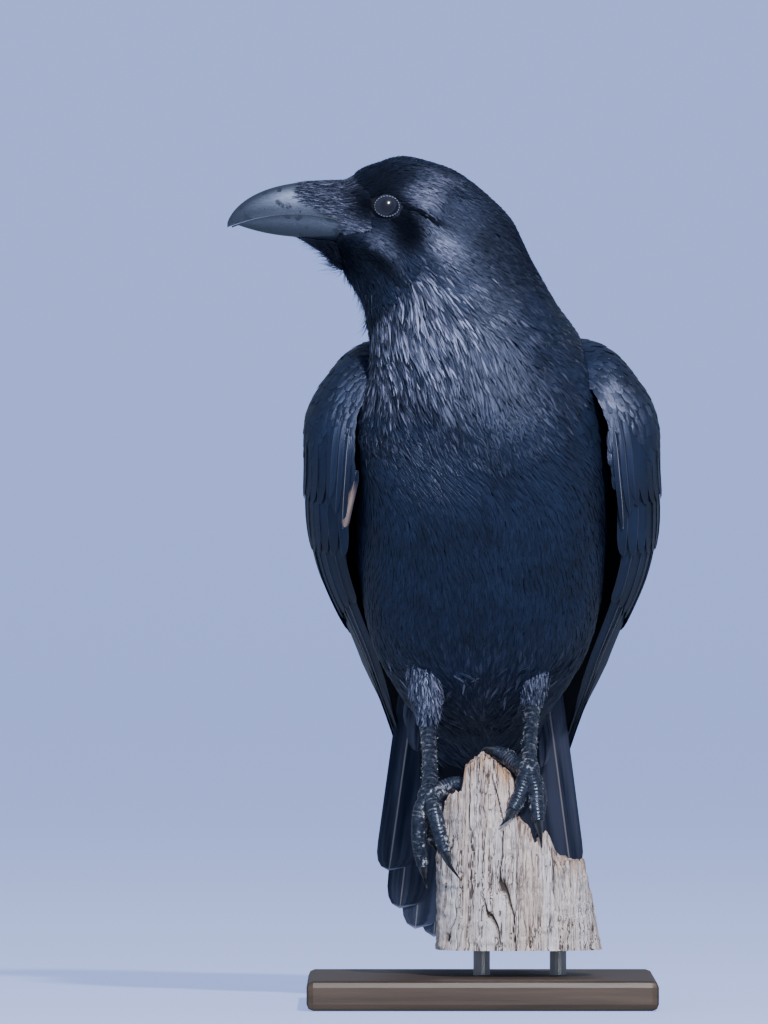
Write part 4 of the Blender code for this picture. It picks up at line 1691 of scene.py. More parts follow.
@dataclass(frozen=True)
class BillForm(Form):
    """The bill's arch: u is the distance forward from its base, v the angle over it from +Y."""

    outward = 1
    base_x: float = -0.078
    length: float = 0.075
    culmen_z: float = 0.4956
    drop: float = 0.028
    mouth_x: float = -0.113
    mouth_z: float = 0.4756
    mouth_arch: float = 5
    lower_z: float = 0.4583
    half_width: float = 0.0118
    flare: float = 0.0036
    lower_share: float = 0.95

    def share(self, x: Array) -> Array:
        """How far along the bill, 0 at its base and 1 at its tip."""
        return np.clip((self.base_x - x) / self.length, 0, 1)

    def culmen(self, x: Array) -> Array:
        """Height of the ridge: nearly level, then curving down to the hooked tip."""
        s = self.share(x)
        return self.culmen_z - self.drop * (0.52 * s**2.8 + 0.48 * (1 - np.sqrt(1 - s**6)))

    def mouth(self, x: Array) -> Array:
        """Height of the cutting edge, a shallow arch."""
        return self.mouth_z - self.mouth_arch * (x - self.mouth_x) ** 2

    def keel(self, x: Array) -> Array:
        """Height of the lower mandible's underside, which rises to its tip."""
        level = self.lower_z - 0.105 * (x - self.base_x)
        return level + 0.0045 * np.clip((-0.118 - x) / 0.032, 0, 1) ** 2

    def half(self, x: Array) -> Array:
        """Half the width, narrowing to the tip and flared at the base.

        Args:
            x: Places along the bill.

        Returns:
            Half a width for each.
        """
        share = self.share(x)
        flare = self.flare * np.maximum(1 - 5 * share, 0) ** 2
        return self.half_width * (1 - share**1.5) ** 0.8 + 0.0007 + flare

    def side(self, x: Array, z: Array) -> Array:
        """Half the lower mandible's width at a height: the cosine where its profile reaches it.

        Args:
            x: Places along the bill.
            z: Heights.

        Returns:
            Half a width for each.
        """
        sine = np.linspace(0, 1, 21)
        down = (self.mouth(x) - z) / (self.mouth(x) - self.keel(x))
        found = np.interp(down, sine * (0.55 + 0.45 * sine**2), sine)
        return self.half(x) * self.lower_share * np.sqrt(1 - found**2)

    def point(self, u: Array, v: Array, rise: Numbers = 0) -> Array:
        """Points of the arch: cosine across with hollowed flanks, sine to the power 0.9 up.

        Below the mouth's line it is half an oval down to the keel.

        Args:
            u: Distances forward.
            v: Angles.
            rise: Height over it.

        Returns:
            The points.
        """
        x = self.base_x - u
        sine = np.sin(v)
        y = HEAD_Y + (self.half(x) + rise) * np.cos(v) * (1 - 0.25 * sine**4)
        low = self.mouth(x)
        up = np.maximum(self.culmen(x) - low, 0.0012) + rise
        down = low - self.keel(x) + rise
        return stack(x, y, low + np.where(sine > 0, up * np.abs(sine) ** 0.9, down * sine))


@dataclass(frozen=True)
class LoresForm(BillForm):
    """The bill's arch widened to meet the face behind it, and run on round its underside."""

    face_half: tuple = (
        (-0.104, 0), (-0.098, 0.0126), (-0.09, 0.014), (-0.0837, 0.0157), (-0.0786, 0.0188),
        (-0.0717, 0.0228), (-0.0627, 0.0256),
    )
    face_top: tuple = (
        (-0.099, 0), (-0.093, 0.4948), (-0.0852, 0.495), (-0.081, 0.4962), (-0.0731, 0.502),
        (-0.0623, 0.507), (-0.0479, 0.511),
    )
    face_low: tuple = (
        (-0.08, 0.4585), (-0.074, 0.457), (-0.07, 0.45), (-0.066, 0.44),
    )

    def culmen(self, x: Array) -> Array:
        """Height of the bill's ridge or of the face, whichever is more."""
        return np.maximum(super().culmen(x), np.interp(x, *zip(*self.face_top)))

    def keel(self, x: Array) -> Array:
        """Height of the bill's underside or of the face's, whichever is less."""
        return np.minimum(super().keel(x), np.interp(x, *zip(*self.face_low)))

    def half(self, x: Array) -> Array:
        """Half the width of the bill or of the face, whichever is more."""
        return np.maximum(super().half(x), np.interp(x, *zip(*self.face_half)))


def parting(z: Array) -> Array:
    """X of the face's parting at each height: before it the feathers lie forward over the bill."""
    return -0.0672 - 0.0105 * ramp(z, 0.484, 0.499) - 0.022 * ramp(-z, -0.466, -0.46)


@dataclass(frozen=True)
class Bill:
    """Both mandibles, the bristles over the base of the upper one and the beard under the lower."""

    horn: Finish
    plumage: Finish
    form: BillForm = field(default_factory=BillForm)
    root: float = 0.0045
    lower_length: float = 0.072

    def upper(self) -> None:
        """The upper mandible: the arch, then back under it along a slightly hollow palate."""
        form = self.form
        run = np.sin(np.linspace(0, pi / 2, 110)) * (form.length + self.root - 0.0003) - self.root
        run = run[:, None]
        angle = np.linspace(0, pi, 49)[None]
        arch = form.point(run, angle)
        arch[..., 2] += 0.0004 * bell((angle - pi / 2) / 0.22)
        across = np.linspace(-1, 1, 15)[None, 1:-1]
        x = form.base_x - run
        width = form.half(x)
        hollow = np.minimum(0.1 * width, 0.001) * (1 - across**2)
        under = stack(x, HEAD_Y + across * width, form.mouth(x) + hollow)
        piece = closed_piece("upper_mandible", join((arch, under), 1), self.horn)
        share = form.share(x)
        side = pi / 2 - np.abs(angle - pi / 2)
        # painted reflection: a sky sheen along the lower flank, fading towards the tip
        flank = bell((side - 0.62) / 0.36) * 0.85
        edge = bell(side / 0.14) * 0.1
        # painted highlight: the key light's patch on the flank near the bristles
        painted_highlight = bell((share - 0.42) / 0.2) * bell((side - 0.62) / 0.34)
        wear_and_sheen = (flank * (1 - share) + edge) * (0.45 + 0.45 * share) + 0.72 * painted_highlight
        wear_and_sheen = wear_and_sheen * (1 - 0.5 * ramp(share, 0.74, 0.9))
        wear_and_sheen = join((wear_and_sheen, 0 * under[..., 0]), 1).ravel()
        give(piece, "wear_and_sheen", np.append(wear_and_sheen, (0, 0)))
        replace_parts(piece, "bill_upper")

    def lower(self) -> None:
        """The lower mandible: a flat top over a keel, its sides sine-shaped."""
        form = self.form
        run = np.sin(np.linspace(0, pi / 2, 90)) * (self.lower_length + self.root) - self.root
        x = form.base_x - run[:, None]
        angle = np.linspace(pi, tau, 41)[None]
        half = form.half(x) * form.lower_share
        high = form.mouth(x) - 0.0003
        low = np.minimum(form.keel(x), high - 0.001)
        sine = np.sin(angle)
        y = HEAD_Y + half * np.cos(angle)
        z = high + (high - low) * sine * (0.55 + 0.45 * sine**2)
        across = np.linspace(1, -1, 11)[None, 1:-1]
        top = stack(x, HEAD_Y + across * half, high)
        rings = join((stack(x, y, z), top), 1)
        piece = closed_piece("lower_mandible", rings, self.horn)
        # painted reflection: a sky sheen along the mandible's flanks, fading to the tip
        flank = bell((np.abs(sine) - 0.45) / 0.28) * 0.22 * (1 - form.share(x)) ** 0.7
        wear_and_sheen = join((flank, 0 * top[..., 0]), 1).ravel()
        give(piece, "wear_and_sheen", np.append(wear_and_sheen, (0, 0)))
        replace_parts(piece, "bill_lower")

    def bristles(self) -> None:
        """Stiff bristles that lie forward over the upper mandible's base and hide the nostrils."""
        coat = Coat("nasal_bristles", 21)
        lores = LoresForm()
        u, v = staggered(lores, np.linspace(-0.0145, 0.0265, 70), (-0.95, pi + 0.95), 0.00062, 0.001, 22)
        high = np.sin(v)
        reach = np.interp(
            high, (-0.8, -0.1, 0, 0.13, 0.34, 0.67, 1), (0.001, 0.003, 0.005, 0.0155, 0.0225, 0.025, 0.0212),
        )
        place = lores.point(u, v)
        ring = np.hypot((place[:, 0] - Eye.x) / 0.0092, (place[:, 2] - Eye.z) / 0.0078)
        keep = (u < reach) & (place[:, 0] < np.maximum(parting(place[:, 2]) + 0.0012, -0.074)) & (ring > 1)
        u, v, high = u[keep], v[keep], high[keep]
        length = np.interp(u, (-0.0145, -0.006, 0.004, 0.02), (0.005, 0.0085, 0.013, 0.013))
        length = length * np.interp(high, (-0.8, 0, 0.6, 1), (0.42, 0.55, 0.95, 1))
        # painted glints: rare pale bristles forward over the bill and low on the face
        painted_bristle_glints = 0.95 * coat.rare(u, 4) * ramp(u, -0.012, 0)
        painted_bristle_glints = np.maximum(painted_bristle_glints, 0.8 * coat.rare(u, 2) * ramp(-high, -0.35, 0.1))
        coat.lay(
            Kind.HAIR, lores, u, v, length, 0.00021, (0.0003, -0.0006), 0, 0.08, 0.35,
            pale=painted_bristle_glints, curl=0.01,
        )
        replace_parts(coat.piece(self.plumage), "bristles")

    def beard(self) -> None:
        """Loose pointed feathers that hang forward from the chin and the throat."""
        coat = Coat("chin_feathers", 31)
        path = (
            (-0.074, HEAD_Y, 0.449), (-0.084, HEAD_Y, 0.4512),
            (-0.091, HEAD_Y, 0.4548), (-0.0995, HEAD_Y, 0.4584),
            (-0.112, HEAD_Y, 0.4626),
        )
        chin = LimbForm(path, (0.0092, 0.0078, 0.005, 0.0024, 0.0005))
        u, v = staggered(chin, np.linspace(0, 3.85, 40), (0, tau), 0.00085, 0.001, 32)
        under = ramp(-chin.tangents(u, v)[2][:, 2], -0.2, 0.9)
        droop = coat.chance.uniform(0.05, 1, len(u)) ** 2 * 0.85 * under
        # painted glints on rare chin feathers
        coat.lay(
            Kind.HAIR, chin, u, v, np.interp(u, (0, 2, 3.9), (0.012, 0.0095, 0.005)), 0.00017,
            (0.0008, 0.0001), 0, 0.25, 0.3, pale=0.1 * coat.rare(u, 6), curl=droop,
        )
        u, v = staggered(TORSO, np.linspace(12.6, 18.2, 60), (-2.3, -0.85), 0.0014, 0.0021, 33)
        droop = coat.chance.uniform(0.1, 1, len(u)) ** 2 * 0.45
        coat.lay(
            Kind.HAIR, TORSO, u, v, np.interp(u, (12.6, 18), (0.015, 0.0085)), 0.00024,
            (0.0008, 0.0002), 0, 0.16, 0.3, curl=droop,
        )
        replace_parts(coat.piece(self.plumage), "chin_tuft")


@dataclass(frozen=True)
class Contour:
    """The coat of head, neck, trunk and thighs, in pieces by region."""

    plumage: Finish
    form: BodyForm = TORSO
    bill: BillForm = field(default_factory=BillForm)

    def clear_of_face(self, u: Array, v: Array) -> Array:
        """Whether a root lies outside the eyes' bare rings and the bill's base.

        Args:
            u: Station numbers.
            v: Angles.

        Returns:
            Yes or no for each root.
        """
        points = self.form.point(u, v)
        x, y, z = points.T
        out = np.abs(y - HEAD_Y)
        ring = np.hypot((x - Eye.x + 0.0016) / 0.0101, (z - Eye.z) / 0.0074)
        bare = (x < self.bill.base_x + 0.0005) & (z > self.bill.keel(x) + 0.0004)
        bare &= (x < parting(z) + 0.004) & (z < self.bill.mouth(x) + 0.002)
        bare &= out < self.bill.side(x, z) + 0.0004
        line = np.abs(z - Eye.z + 0.0012 + 0.387 * (x - Eye.x - 0.01)) < 0.0005
        line &= (x > Eye.x + 0.008) & (x < Eye.x + 0.031) & (out > 0.01)
        return ~((ring < 1) & (out > 0.014)) & (x > parting(z)) & ~bare & ~line

    def head(self) -> None:
        """Tiny tufts, finer towards the face, that leave the eyes and the bill bare."""
        coat = Coat("coat_head", 41)
        u, v = staggered(self.form, np.linspace(11.7, 18.7, 160), (0, tau), 0.00112, 0.00165, 42)
        thin = coat.chance.uniform(0, 2.6, len(u)) * ramp(0.5 - 0.5 * np.sin(v), 0.42, 0.68)
        keep = self.clear_of_face(u, v) & (u > 11.7 + thin)
        u, v = u[keep], v[keep]
        length = np.interp(u, (11.5, 13, 15, 17, 19), (0.0105, 0.008, 0.0056, 0.0042, 0.0034))
        half = np.interp(u, (11.5, 13, 15, 17, 19), (0.00105, 0.0008, 0.00062, 0.00052, 0.00046))
        coat.lay(Kind.TUFT, self.form, u, v, length, half, (0.0009, 0), 0, 0.08, 0.16, curl=0.01)
        coat.piece(self.plumage)

    def neck(self) -> None:
        """Long pointed hackles with painted glints, shaggy at the throat and, as a second piece, finer on
        the nape.
        """
        coat = Coat("coat_throat", 51)
        u, v = staggered(self.form, np.linspace(8.1, 15.4, 190), (0, tau), 0.0017, 0.0031, 52)
        throat = 0.5 - 0.5 * np.sin(v)
        keep = throat > coat.chance.uniform(0.16, 0.46, len(u))
        keep &= u < coat.chance.uniform(12, 13.4, len(u)) + 2 * ramp(throat, 0.58, 0.85)
        u, v, throat = u[keep], v[keep], throat[keep]
        length = np.interp(u, (8, 10, 11.5, 13.4, 15.4), (0.018, 0.019, 0.015, 0.01, 0.0075))
        length = length * (0.7 + 0.4 * throat)
        half = np.interp(u, (8, 9, 11, 13.4), (0.0012, 0.001, 0.0008, 0.0005))
        hang = ramp(u, 7.6, 8.8) * ramp(-u, -13.2, -11.2) * ramp(throat, 0.3, 0.8)
        locks = 0.3 * throat * Noise(53).at(u * 1.6, v * 7)
        x = self.form.point(u, v)[:, 0]
        sweep = 0.44 * ramp(-x, -0.012, 0.035) * ramp(-u, -12, -10.4) * throat
        heading = 0.78 * hang * self.form.fall(u, v) + locks + sweep
        # painted glints: pale throat hackles in clumps, brightest down the throat's front
        clump = 0.5 + 0.5 * Noise(54).at(u * 3.2, v * 11)
        painted_highlight = throat**1.1 * bell((u - 10.6) / 1.6) * ramp(clump, 0.1, 0.7)
        painted_highlight = painted_highlight * ramp(u, 8.5, 10.6) * (0.25 + 0.75 * ramp(-x, -0.032, 0.002))
        pale = 1.75 * (painted_highlight + 0.05) * coat.rare(u, 1.5)
        coat.lay(
            Kind.HACKLE, self.form, u, v, length, half, (0.0011 + 0.0016 * throat, 0), heading,
            0.07, 0.1 + 0.22 * throat, pale=pale, curl=0.03 * throat,
        )
        coat.piece(self.plumage)
        coat = Coat("coat_nape", 56)
        u, v = staggered(self.form, np.linspace(7.9, 12.4, 120), (-0.75, pi + 0.75), 0.0014, 0.0025, 55)
        nape = 0.5 + 0.5 * np.sin(v)
        keep = nape > coat.chance.uniform(0.36, 0.66, len(u))
        u, v = u[keep], v[keep]
        # painted glints on rare nape hackles
        coat.lay(
            Kind.HACKLE, self.form, u, v, np.interp(u, (8, 12.4), (0.0115, 0.0075)),
            np.interp(u, (8, 12.4), (0.00125, 0.0008)), (0.0009, -0.0002), 0, 0.07, 0.18,
            pale=0.22 * coat.rare(u, 8), curl=0.02,
        )
        coat.piece(self.plumage)

    def trunk(self, front: bool) -> None:
        """Front: short hackles on breast and belly, some longer between the thighs. Back: scales.

        Args:
            front: Whether it is breast and belly, or the back.
        """
        name, seed = ("coat_breast", 61) if front else ("coat_back", 71)
        coat = Coat(name, seed)
        span = (-2.75, -0.39) if front else (-0.39, 3.53)
        across, along = (0.0022, 0.0037) if front else (0.0064, 0.0078)
        u, v = staggered(self.form, np.linspace(1.3, 8.7, 150), span, across, along, seed + 1)
        size = np.interp(u, (1, 3, 6, 8.7), (0.8, 1.05, 1, 0.88))
        if front:
            belly = ramp(-u, -5.6, -3.5)
            x = self.form.point(u, v)[:, 0]
            sweep = 0.9 * np.sin(2 * v) * belly + 0.32 * ramp(-x, -0.012, 0.035) * ramp(u, 5.6, 7.4)
            # painted glints on rare hackles of the lower belly
            coat.lay(
                Kind.HACKLE, self.form, u, v, 0.0155 * size, 0.0012 * size, (0.0014, 0),
                0.16 * Noise(65).at(u * 1.5, v * 5) + sweep, 0.05, 0.07, pale=0.14 * belly * coat.rare(u, 2),
            )
            # longer hackles between the thighs, rare ones with painted glints
            u, v = staggered(self.form, np.linspace(2.6, 4.4, 60), (-2.5, -0.6), 0.0042, 0.0062, 63)
            coat.lay(
                Kind.HACKLE, self.form, u, v, 0.023, 0.0009, (0.0022, -0.0006),
                0.5 * Noise(64).at(u * 4, v * 6) + 0.75 * np.sin(2 * v), 0.13, 0.3,
                pale=0.35 * coat.rare(u, 6), curl=0.03,
            )
        else:
            coat.lay(Kind.SCALE, self.form, u, v, 0.026 * size, 0.0062 * size, (0.0022, 0.0002), 0, 0.04)
        coat.piece(self.plumage)

    def thighs(self) -> None:
        """Fine feathers, grizzled with painted glints, that hang down both thighs to the bare shanks."""
        coat = Coat("coat_thighs", 81)
        for side, form in THIGHS.items():
            seed = 82 + side.value
            u, v = staggered(form, np.linspace(0.15, 2.75, 80), (0, tau), 0.0014, 0.0023, seed)
            # painted glints on many thigh feathers, fewer near the knee
            pale = 0.75 * np.random.default_rng(seed).uniform(0, 1, len(u)) ** 1.3
            pale = pale * ramp(u, 0.3, 1.5)
            length = np.interp(u, (0.25, 2.75), (0.013, 0.0075))
            coat.lay(
                Kind.HACKLE, form, u, v, length, 0.00058, (0.002, 0), 0, 0.14, 0.3, pale=pale, curl=0.03,
            )
        coat.piece(self.plumage)


@dataclass
class Wing:
    """One folded wing: its coverts, its secondaries with the tertials, and its primaries."""

    side: Side
    plumage: Finish
    form: WingForm = field(init=False)

    def __post_init__(self) -> None:
        """Takes the side's form."""
        self.form = WingForm(self.side)

    def stretch(
        self, coat: Coat, kind: Kind, roots: tuple[Array, Array], tips: tuple[Array, Array], half: Numbers,
        rise: tuple[Numbers, Numbers], tilt: float, lean: float = 0.3, shaft: Numbers = 0,
    ) -> None:
        """Lays large feathers between given roots and tips, each tilted over the one before.

        Args:
            coat: The piece they join.
            kind: Their shape.
            roots: Both parameters of the roots.
            tips: Both parameters of the tips.
            half: Half width of each.
            rise: Height over the form at the root and at the tip.
            tilt: Turn about the shaft that lifts the front edge.
            lean: How much narrower the front vane is.
            shaft: How pale the shafts are.
        """
        vane = kind.value
        count = len(roots[0])
        rows = np.array(vane.rows)
        u = roots[0][:, None] + (tips[0] - roots[0])[:, None] * rows
        v = roots[1][:, None] + (tips[1] - roots[1])[:, None] * rows**1.15
        low, high = (np.broadcast_to(r, count)[:, None] for r in rise)
        line = self.form.point(u, v, low + (high - low) * rows)
        ups = self.form.tangents(u.ravel(), v.ravel())[2].reshape(line.shape)
        length = np.linalg.norm(np.diff(line, axis=1), axis=-1).sum(1)
        half = np.broadcast_to(half, count) * (1 + coat.spread(count, 0.03))
        roll = self.side.value * (tilt + coat.spread(count, 0.03))
        body = vane.bodies(line, ups, half, roll, -self.side.value * lean)
        own = coat.chance.uniform(0, 1, count)
        looks = stack(own, 0, 0, shaft)
        coat.keep(vane, body, length, half, looks, stack(*roots))

    def coverts(self) -> None:
        """Small scales over the shoulder, then the median and greater rows, alula and scapulars."""
        coat = Coat(f"wing_coverts_{self.side.word}", 101 + self.side.value)
        k = np.linspace(0, 1, 15)
        self.stretch(
            coat, Kind.COVERT, (0.27 - 0.02 * k, 0.03 + 0.9 * k), (0.455 + 0.02 * k, 0.02 + 0.92 * k),
            0.0088, (-0.0022, -0.0006), 0.16, 0.15, 0.1,
        )
        self.stretch(
            coat, Kind.COVERT, (0.19 - 0.03 * k, 0.04 + 0.92 * k), (0.345 - 0.01 * k, 0.02 + 0.94 * k),
            0.008, (-0.0016, 0.0002), 0.14, 0.08, 0.05,
        )
        k = np.linspace(0, 1, 3)
        self.stretch(
            coat, Kind.COVERT, (0.14 + 0.03 * k, 0.05 - 0.08 * k), (0.33 + 0.06 * k, 0.06 - 0.07 * k),
            0.0056 - 0.001 * k, (-0.0004, 0.0016 + 0.0004 * k), 0.12, 0.35, 0.05 + 0.85 * k**3,
        )
        if self.side is Side.RIGHT:
            self.stretch(
                coat, Kind.FLIGHT, (np.array((0.27,)), np.array((-0.06,))),
                (np.array((0.385,)), np.array((-0.02,))), 0.0028, (-0.003, 0.0026), 0.05, 0, 2,
            )
        self.stretch(
            coat, Kind.COVERT, (0.26 + 0.05 * k, 0.1 + 0.03 * k), (0.5 + 0.06 * k, 0.04 + 0.05 * k),
            0.0085, (-0.0034, -0.0022), 0.12, 0.3, 0.12,
        )
        u, v = staggered(
            self.form, np.linspace(0, 0.27, 60), (-0.05, 1.04), 0.0034, 0.0052, 111 + self.side.value,
        )
        size = np.interp(u, (0, 0.27), (0.8, 1.15)) * np.interp(v, (0, 0.3), (0.8, 1))
        # painted highlight: pale scales at the bend of the left wing, where the key light catches it
        bend = bell((u - 0.1) / 0.05) * bell(v / 0.22)
        painted_shoulder_highlight = 0.45 * bend * (self.side is Side.LEFT) * coat.rare(u, 2)
        coat.lay(
            Kind.SCALE, self.form, u, v, 0.0165 * size, 0.0032 * size, (0.0009, -0.0001), 0, 0.05,
            0.05, pale=painted_shoulder_highlight,
        )
        k = np.linspace(0, 1, 7)
        self.stretch(
            coat, Kind.COVERT, (0.02 + 0.1 * k, 0.8 + 0.1 * k), (0.26 + 0.18 * k, 0.86 + 0.1 * k),
            0.0125, (-0.0005, 0.001), 0.1, 0.05, 0.05,
        )
        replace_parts(coat.piece(self.plumage), f"wing_{self.side.word}_shoulder")

    def secondaries(self) -> None:
        """Ten secondaries, then four tertials on top, each over the edge of the one before."""
        coat = Coat(f"wing_secondaries_{self.side.word}", 121 + self.side.value)
        k = np.linspace(0, 1, 11)
        self.stretch(
            coat, Kind.FLIGHT, (0.3 - 0.04 * k, 0.1 + 0.72 * k), (0.56 + 0.15 * k, 0.06 + 0.8 * k),
            0.0128, (-0.0042, -0.002 + 0.001 * k), 0.13, 0.35, 0.15,
        )
        k = np.linspace(0, 1, 4)
        self.stretch(
            coat, Kind.FLIGHT, (0.24 - 0.06 * k, 0.74 + 0.2 * k), (0.66 - 0.12 * k, 0.84 + 0.12 * k),
            0.015, (-0.0022, -0.0002), 0.1, 0.15, 0.2,
        )
        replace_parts(coat.piece(self.plumage), f"wing_{self.side.word}_secondaries")

    def primaries(self) -> None:
        """Ten primaries in a stepped point, the eighth the longest, with narrowed tips."""
        coat = Coat(f"wing_primaries_{self.side.word}", 131 + self.side.value)
        tips = np.array((0.8, 0.9, 0.97, 1, 0.985, 0.94, 0.89, 0.84, 0.79, 0.75))
        k = np.linspace(0, 1, len(tips))
        self.stretch(
            coat, Kind.PRIMARY, (0.34 + 0.06 * k, 0.08 + 0.5 * k), (tips, 0.12 + 0.8 * k),
            0.0118, (-0.0056, -0.0026 + 0.0014 * k), 0.12, 0.4, 0.45,
        )
        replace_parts(coat.piece(self.plumage), f"wing_{self.side.word}_primaries")


@dataclass(frozen=True)
class Tail:
    """Twelve tail feathers in a wedge, with the coverts above and below their roots."""

    plumage: Finish
    form: TailForm = field(default_factory=TailForm)
    length: float = 0.237
    graduation: float = 0.074
    half_width: float = 0.0395
    flare: float = 0.133

    def feathers(self) -> None:
        """The twelve, the middle pair longest and on top, each outer one under its neighbour."""
        coat = Coat("tail_feathers", 141)
        vane = Kind.FLIGHT.value
        rows = np.array(vane.rows)
        place = np.array((-0.88, -0.73, -0.57, -0.4, -0.24, -0.08, 0.08, 0.24, 0.4, 0.57, 0.73, 0.88))
        reach = self.length - self.graduation * np.abs(place * 1.06) ** 4
        run = 0.03 + (reach - 0.03)[:, None] * rows
        x = place[:, None] * (self.half_width + self.flare * run)
        sway = 0.0022 * (1 - 2.2 * np.abs(place))[:, None] * np.ones_like(rows)
        line = self.form.point(run, x, sway)
        ups = self.form.tangents(run.ravel(), x.ravel())[2].reshape(line.shape)
        half = 0.015 - 0.002 * np.abs(place)
        length = reach - 0.03
        sign = np.sign(place)
        for part in (sign > 0, sign < 0):
            lean = -0.3 * sign[part][0]
            roll = 0.085 * sign[part]
            body = vane.bodies(line[part], ups[part], half[part], roll, lean)
            own = coat.chance.uniform(0, 1, part.sum())
            # paleness 0.12 is painted light, lifting the tail out of the belly's shade
            looks = stack(own, 0.12, 0, 0.85)
            roots = stack(run[part, 0], x[part, 0])
            coat.keep(vane, body, length[part], half[part], looks, roots)
        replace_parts(coat.piece(self.plumage), "tail")

    def coverts(self) -> None:
        """Two rows of long coverts above the tail's root and a soft bundle of them below."""
        coat = Coat("tail_coverts", 151)
        for run, count, spread, length in ((0.03, 9, 0.034, 0.052), (0.052, 8, 0.038, 0.05)):
            x = np.linspace(-spread, spread, count)
            u = np.full(count, run)
            coat.lay(Kind.COVERT, self.form, u, x, length, 0.0095, (-0.0095, -0.005), 0, 0.05, shaft=0.05)
        below = TailUnderside(self.form.root, self.form.slope)
        for row, run in enumerate(np.linspace(0.02, 0.074, 6)):
            count = 11 - row
            x = np.linspace(-1, 1, count) * (0.036 - 0.0015 * row)
            # pale 0.15 is painted light, lifting the undertail coverts out of shade
            coat.lay(
                Kind.COVERT, below, np.full(count, run), x, 0.046, 0.0082,
                (0.01 - 0.0012 * row, 0.0065 - 0.0006 * row), 0, 0.08, pale=0.15,
            )
        coat.piece(self.plumage)


@dataclass(frozen=True)
class TailUnderside(TailForm):
    """The same fan seen from below: depth counts towards its back, so coverts hang under it."""

    outward = 1

    def point(self, u: Array, v: Array, rise: Numbers = 0) -> Array:
        """Points of the fan; rise is towards the belly."""
        return super().point(u, v, -np.asarray(rise, float) - 0.0165)


def with_caps(*shares: Numbers) -> Array:
    """The shares by vertex, as columns, ending with none for a body's two caps."""
    columns = stack(*shares).reshape(-1, len(shares))
    return join((columns, np.zeros((2, len(shares)))))


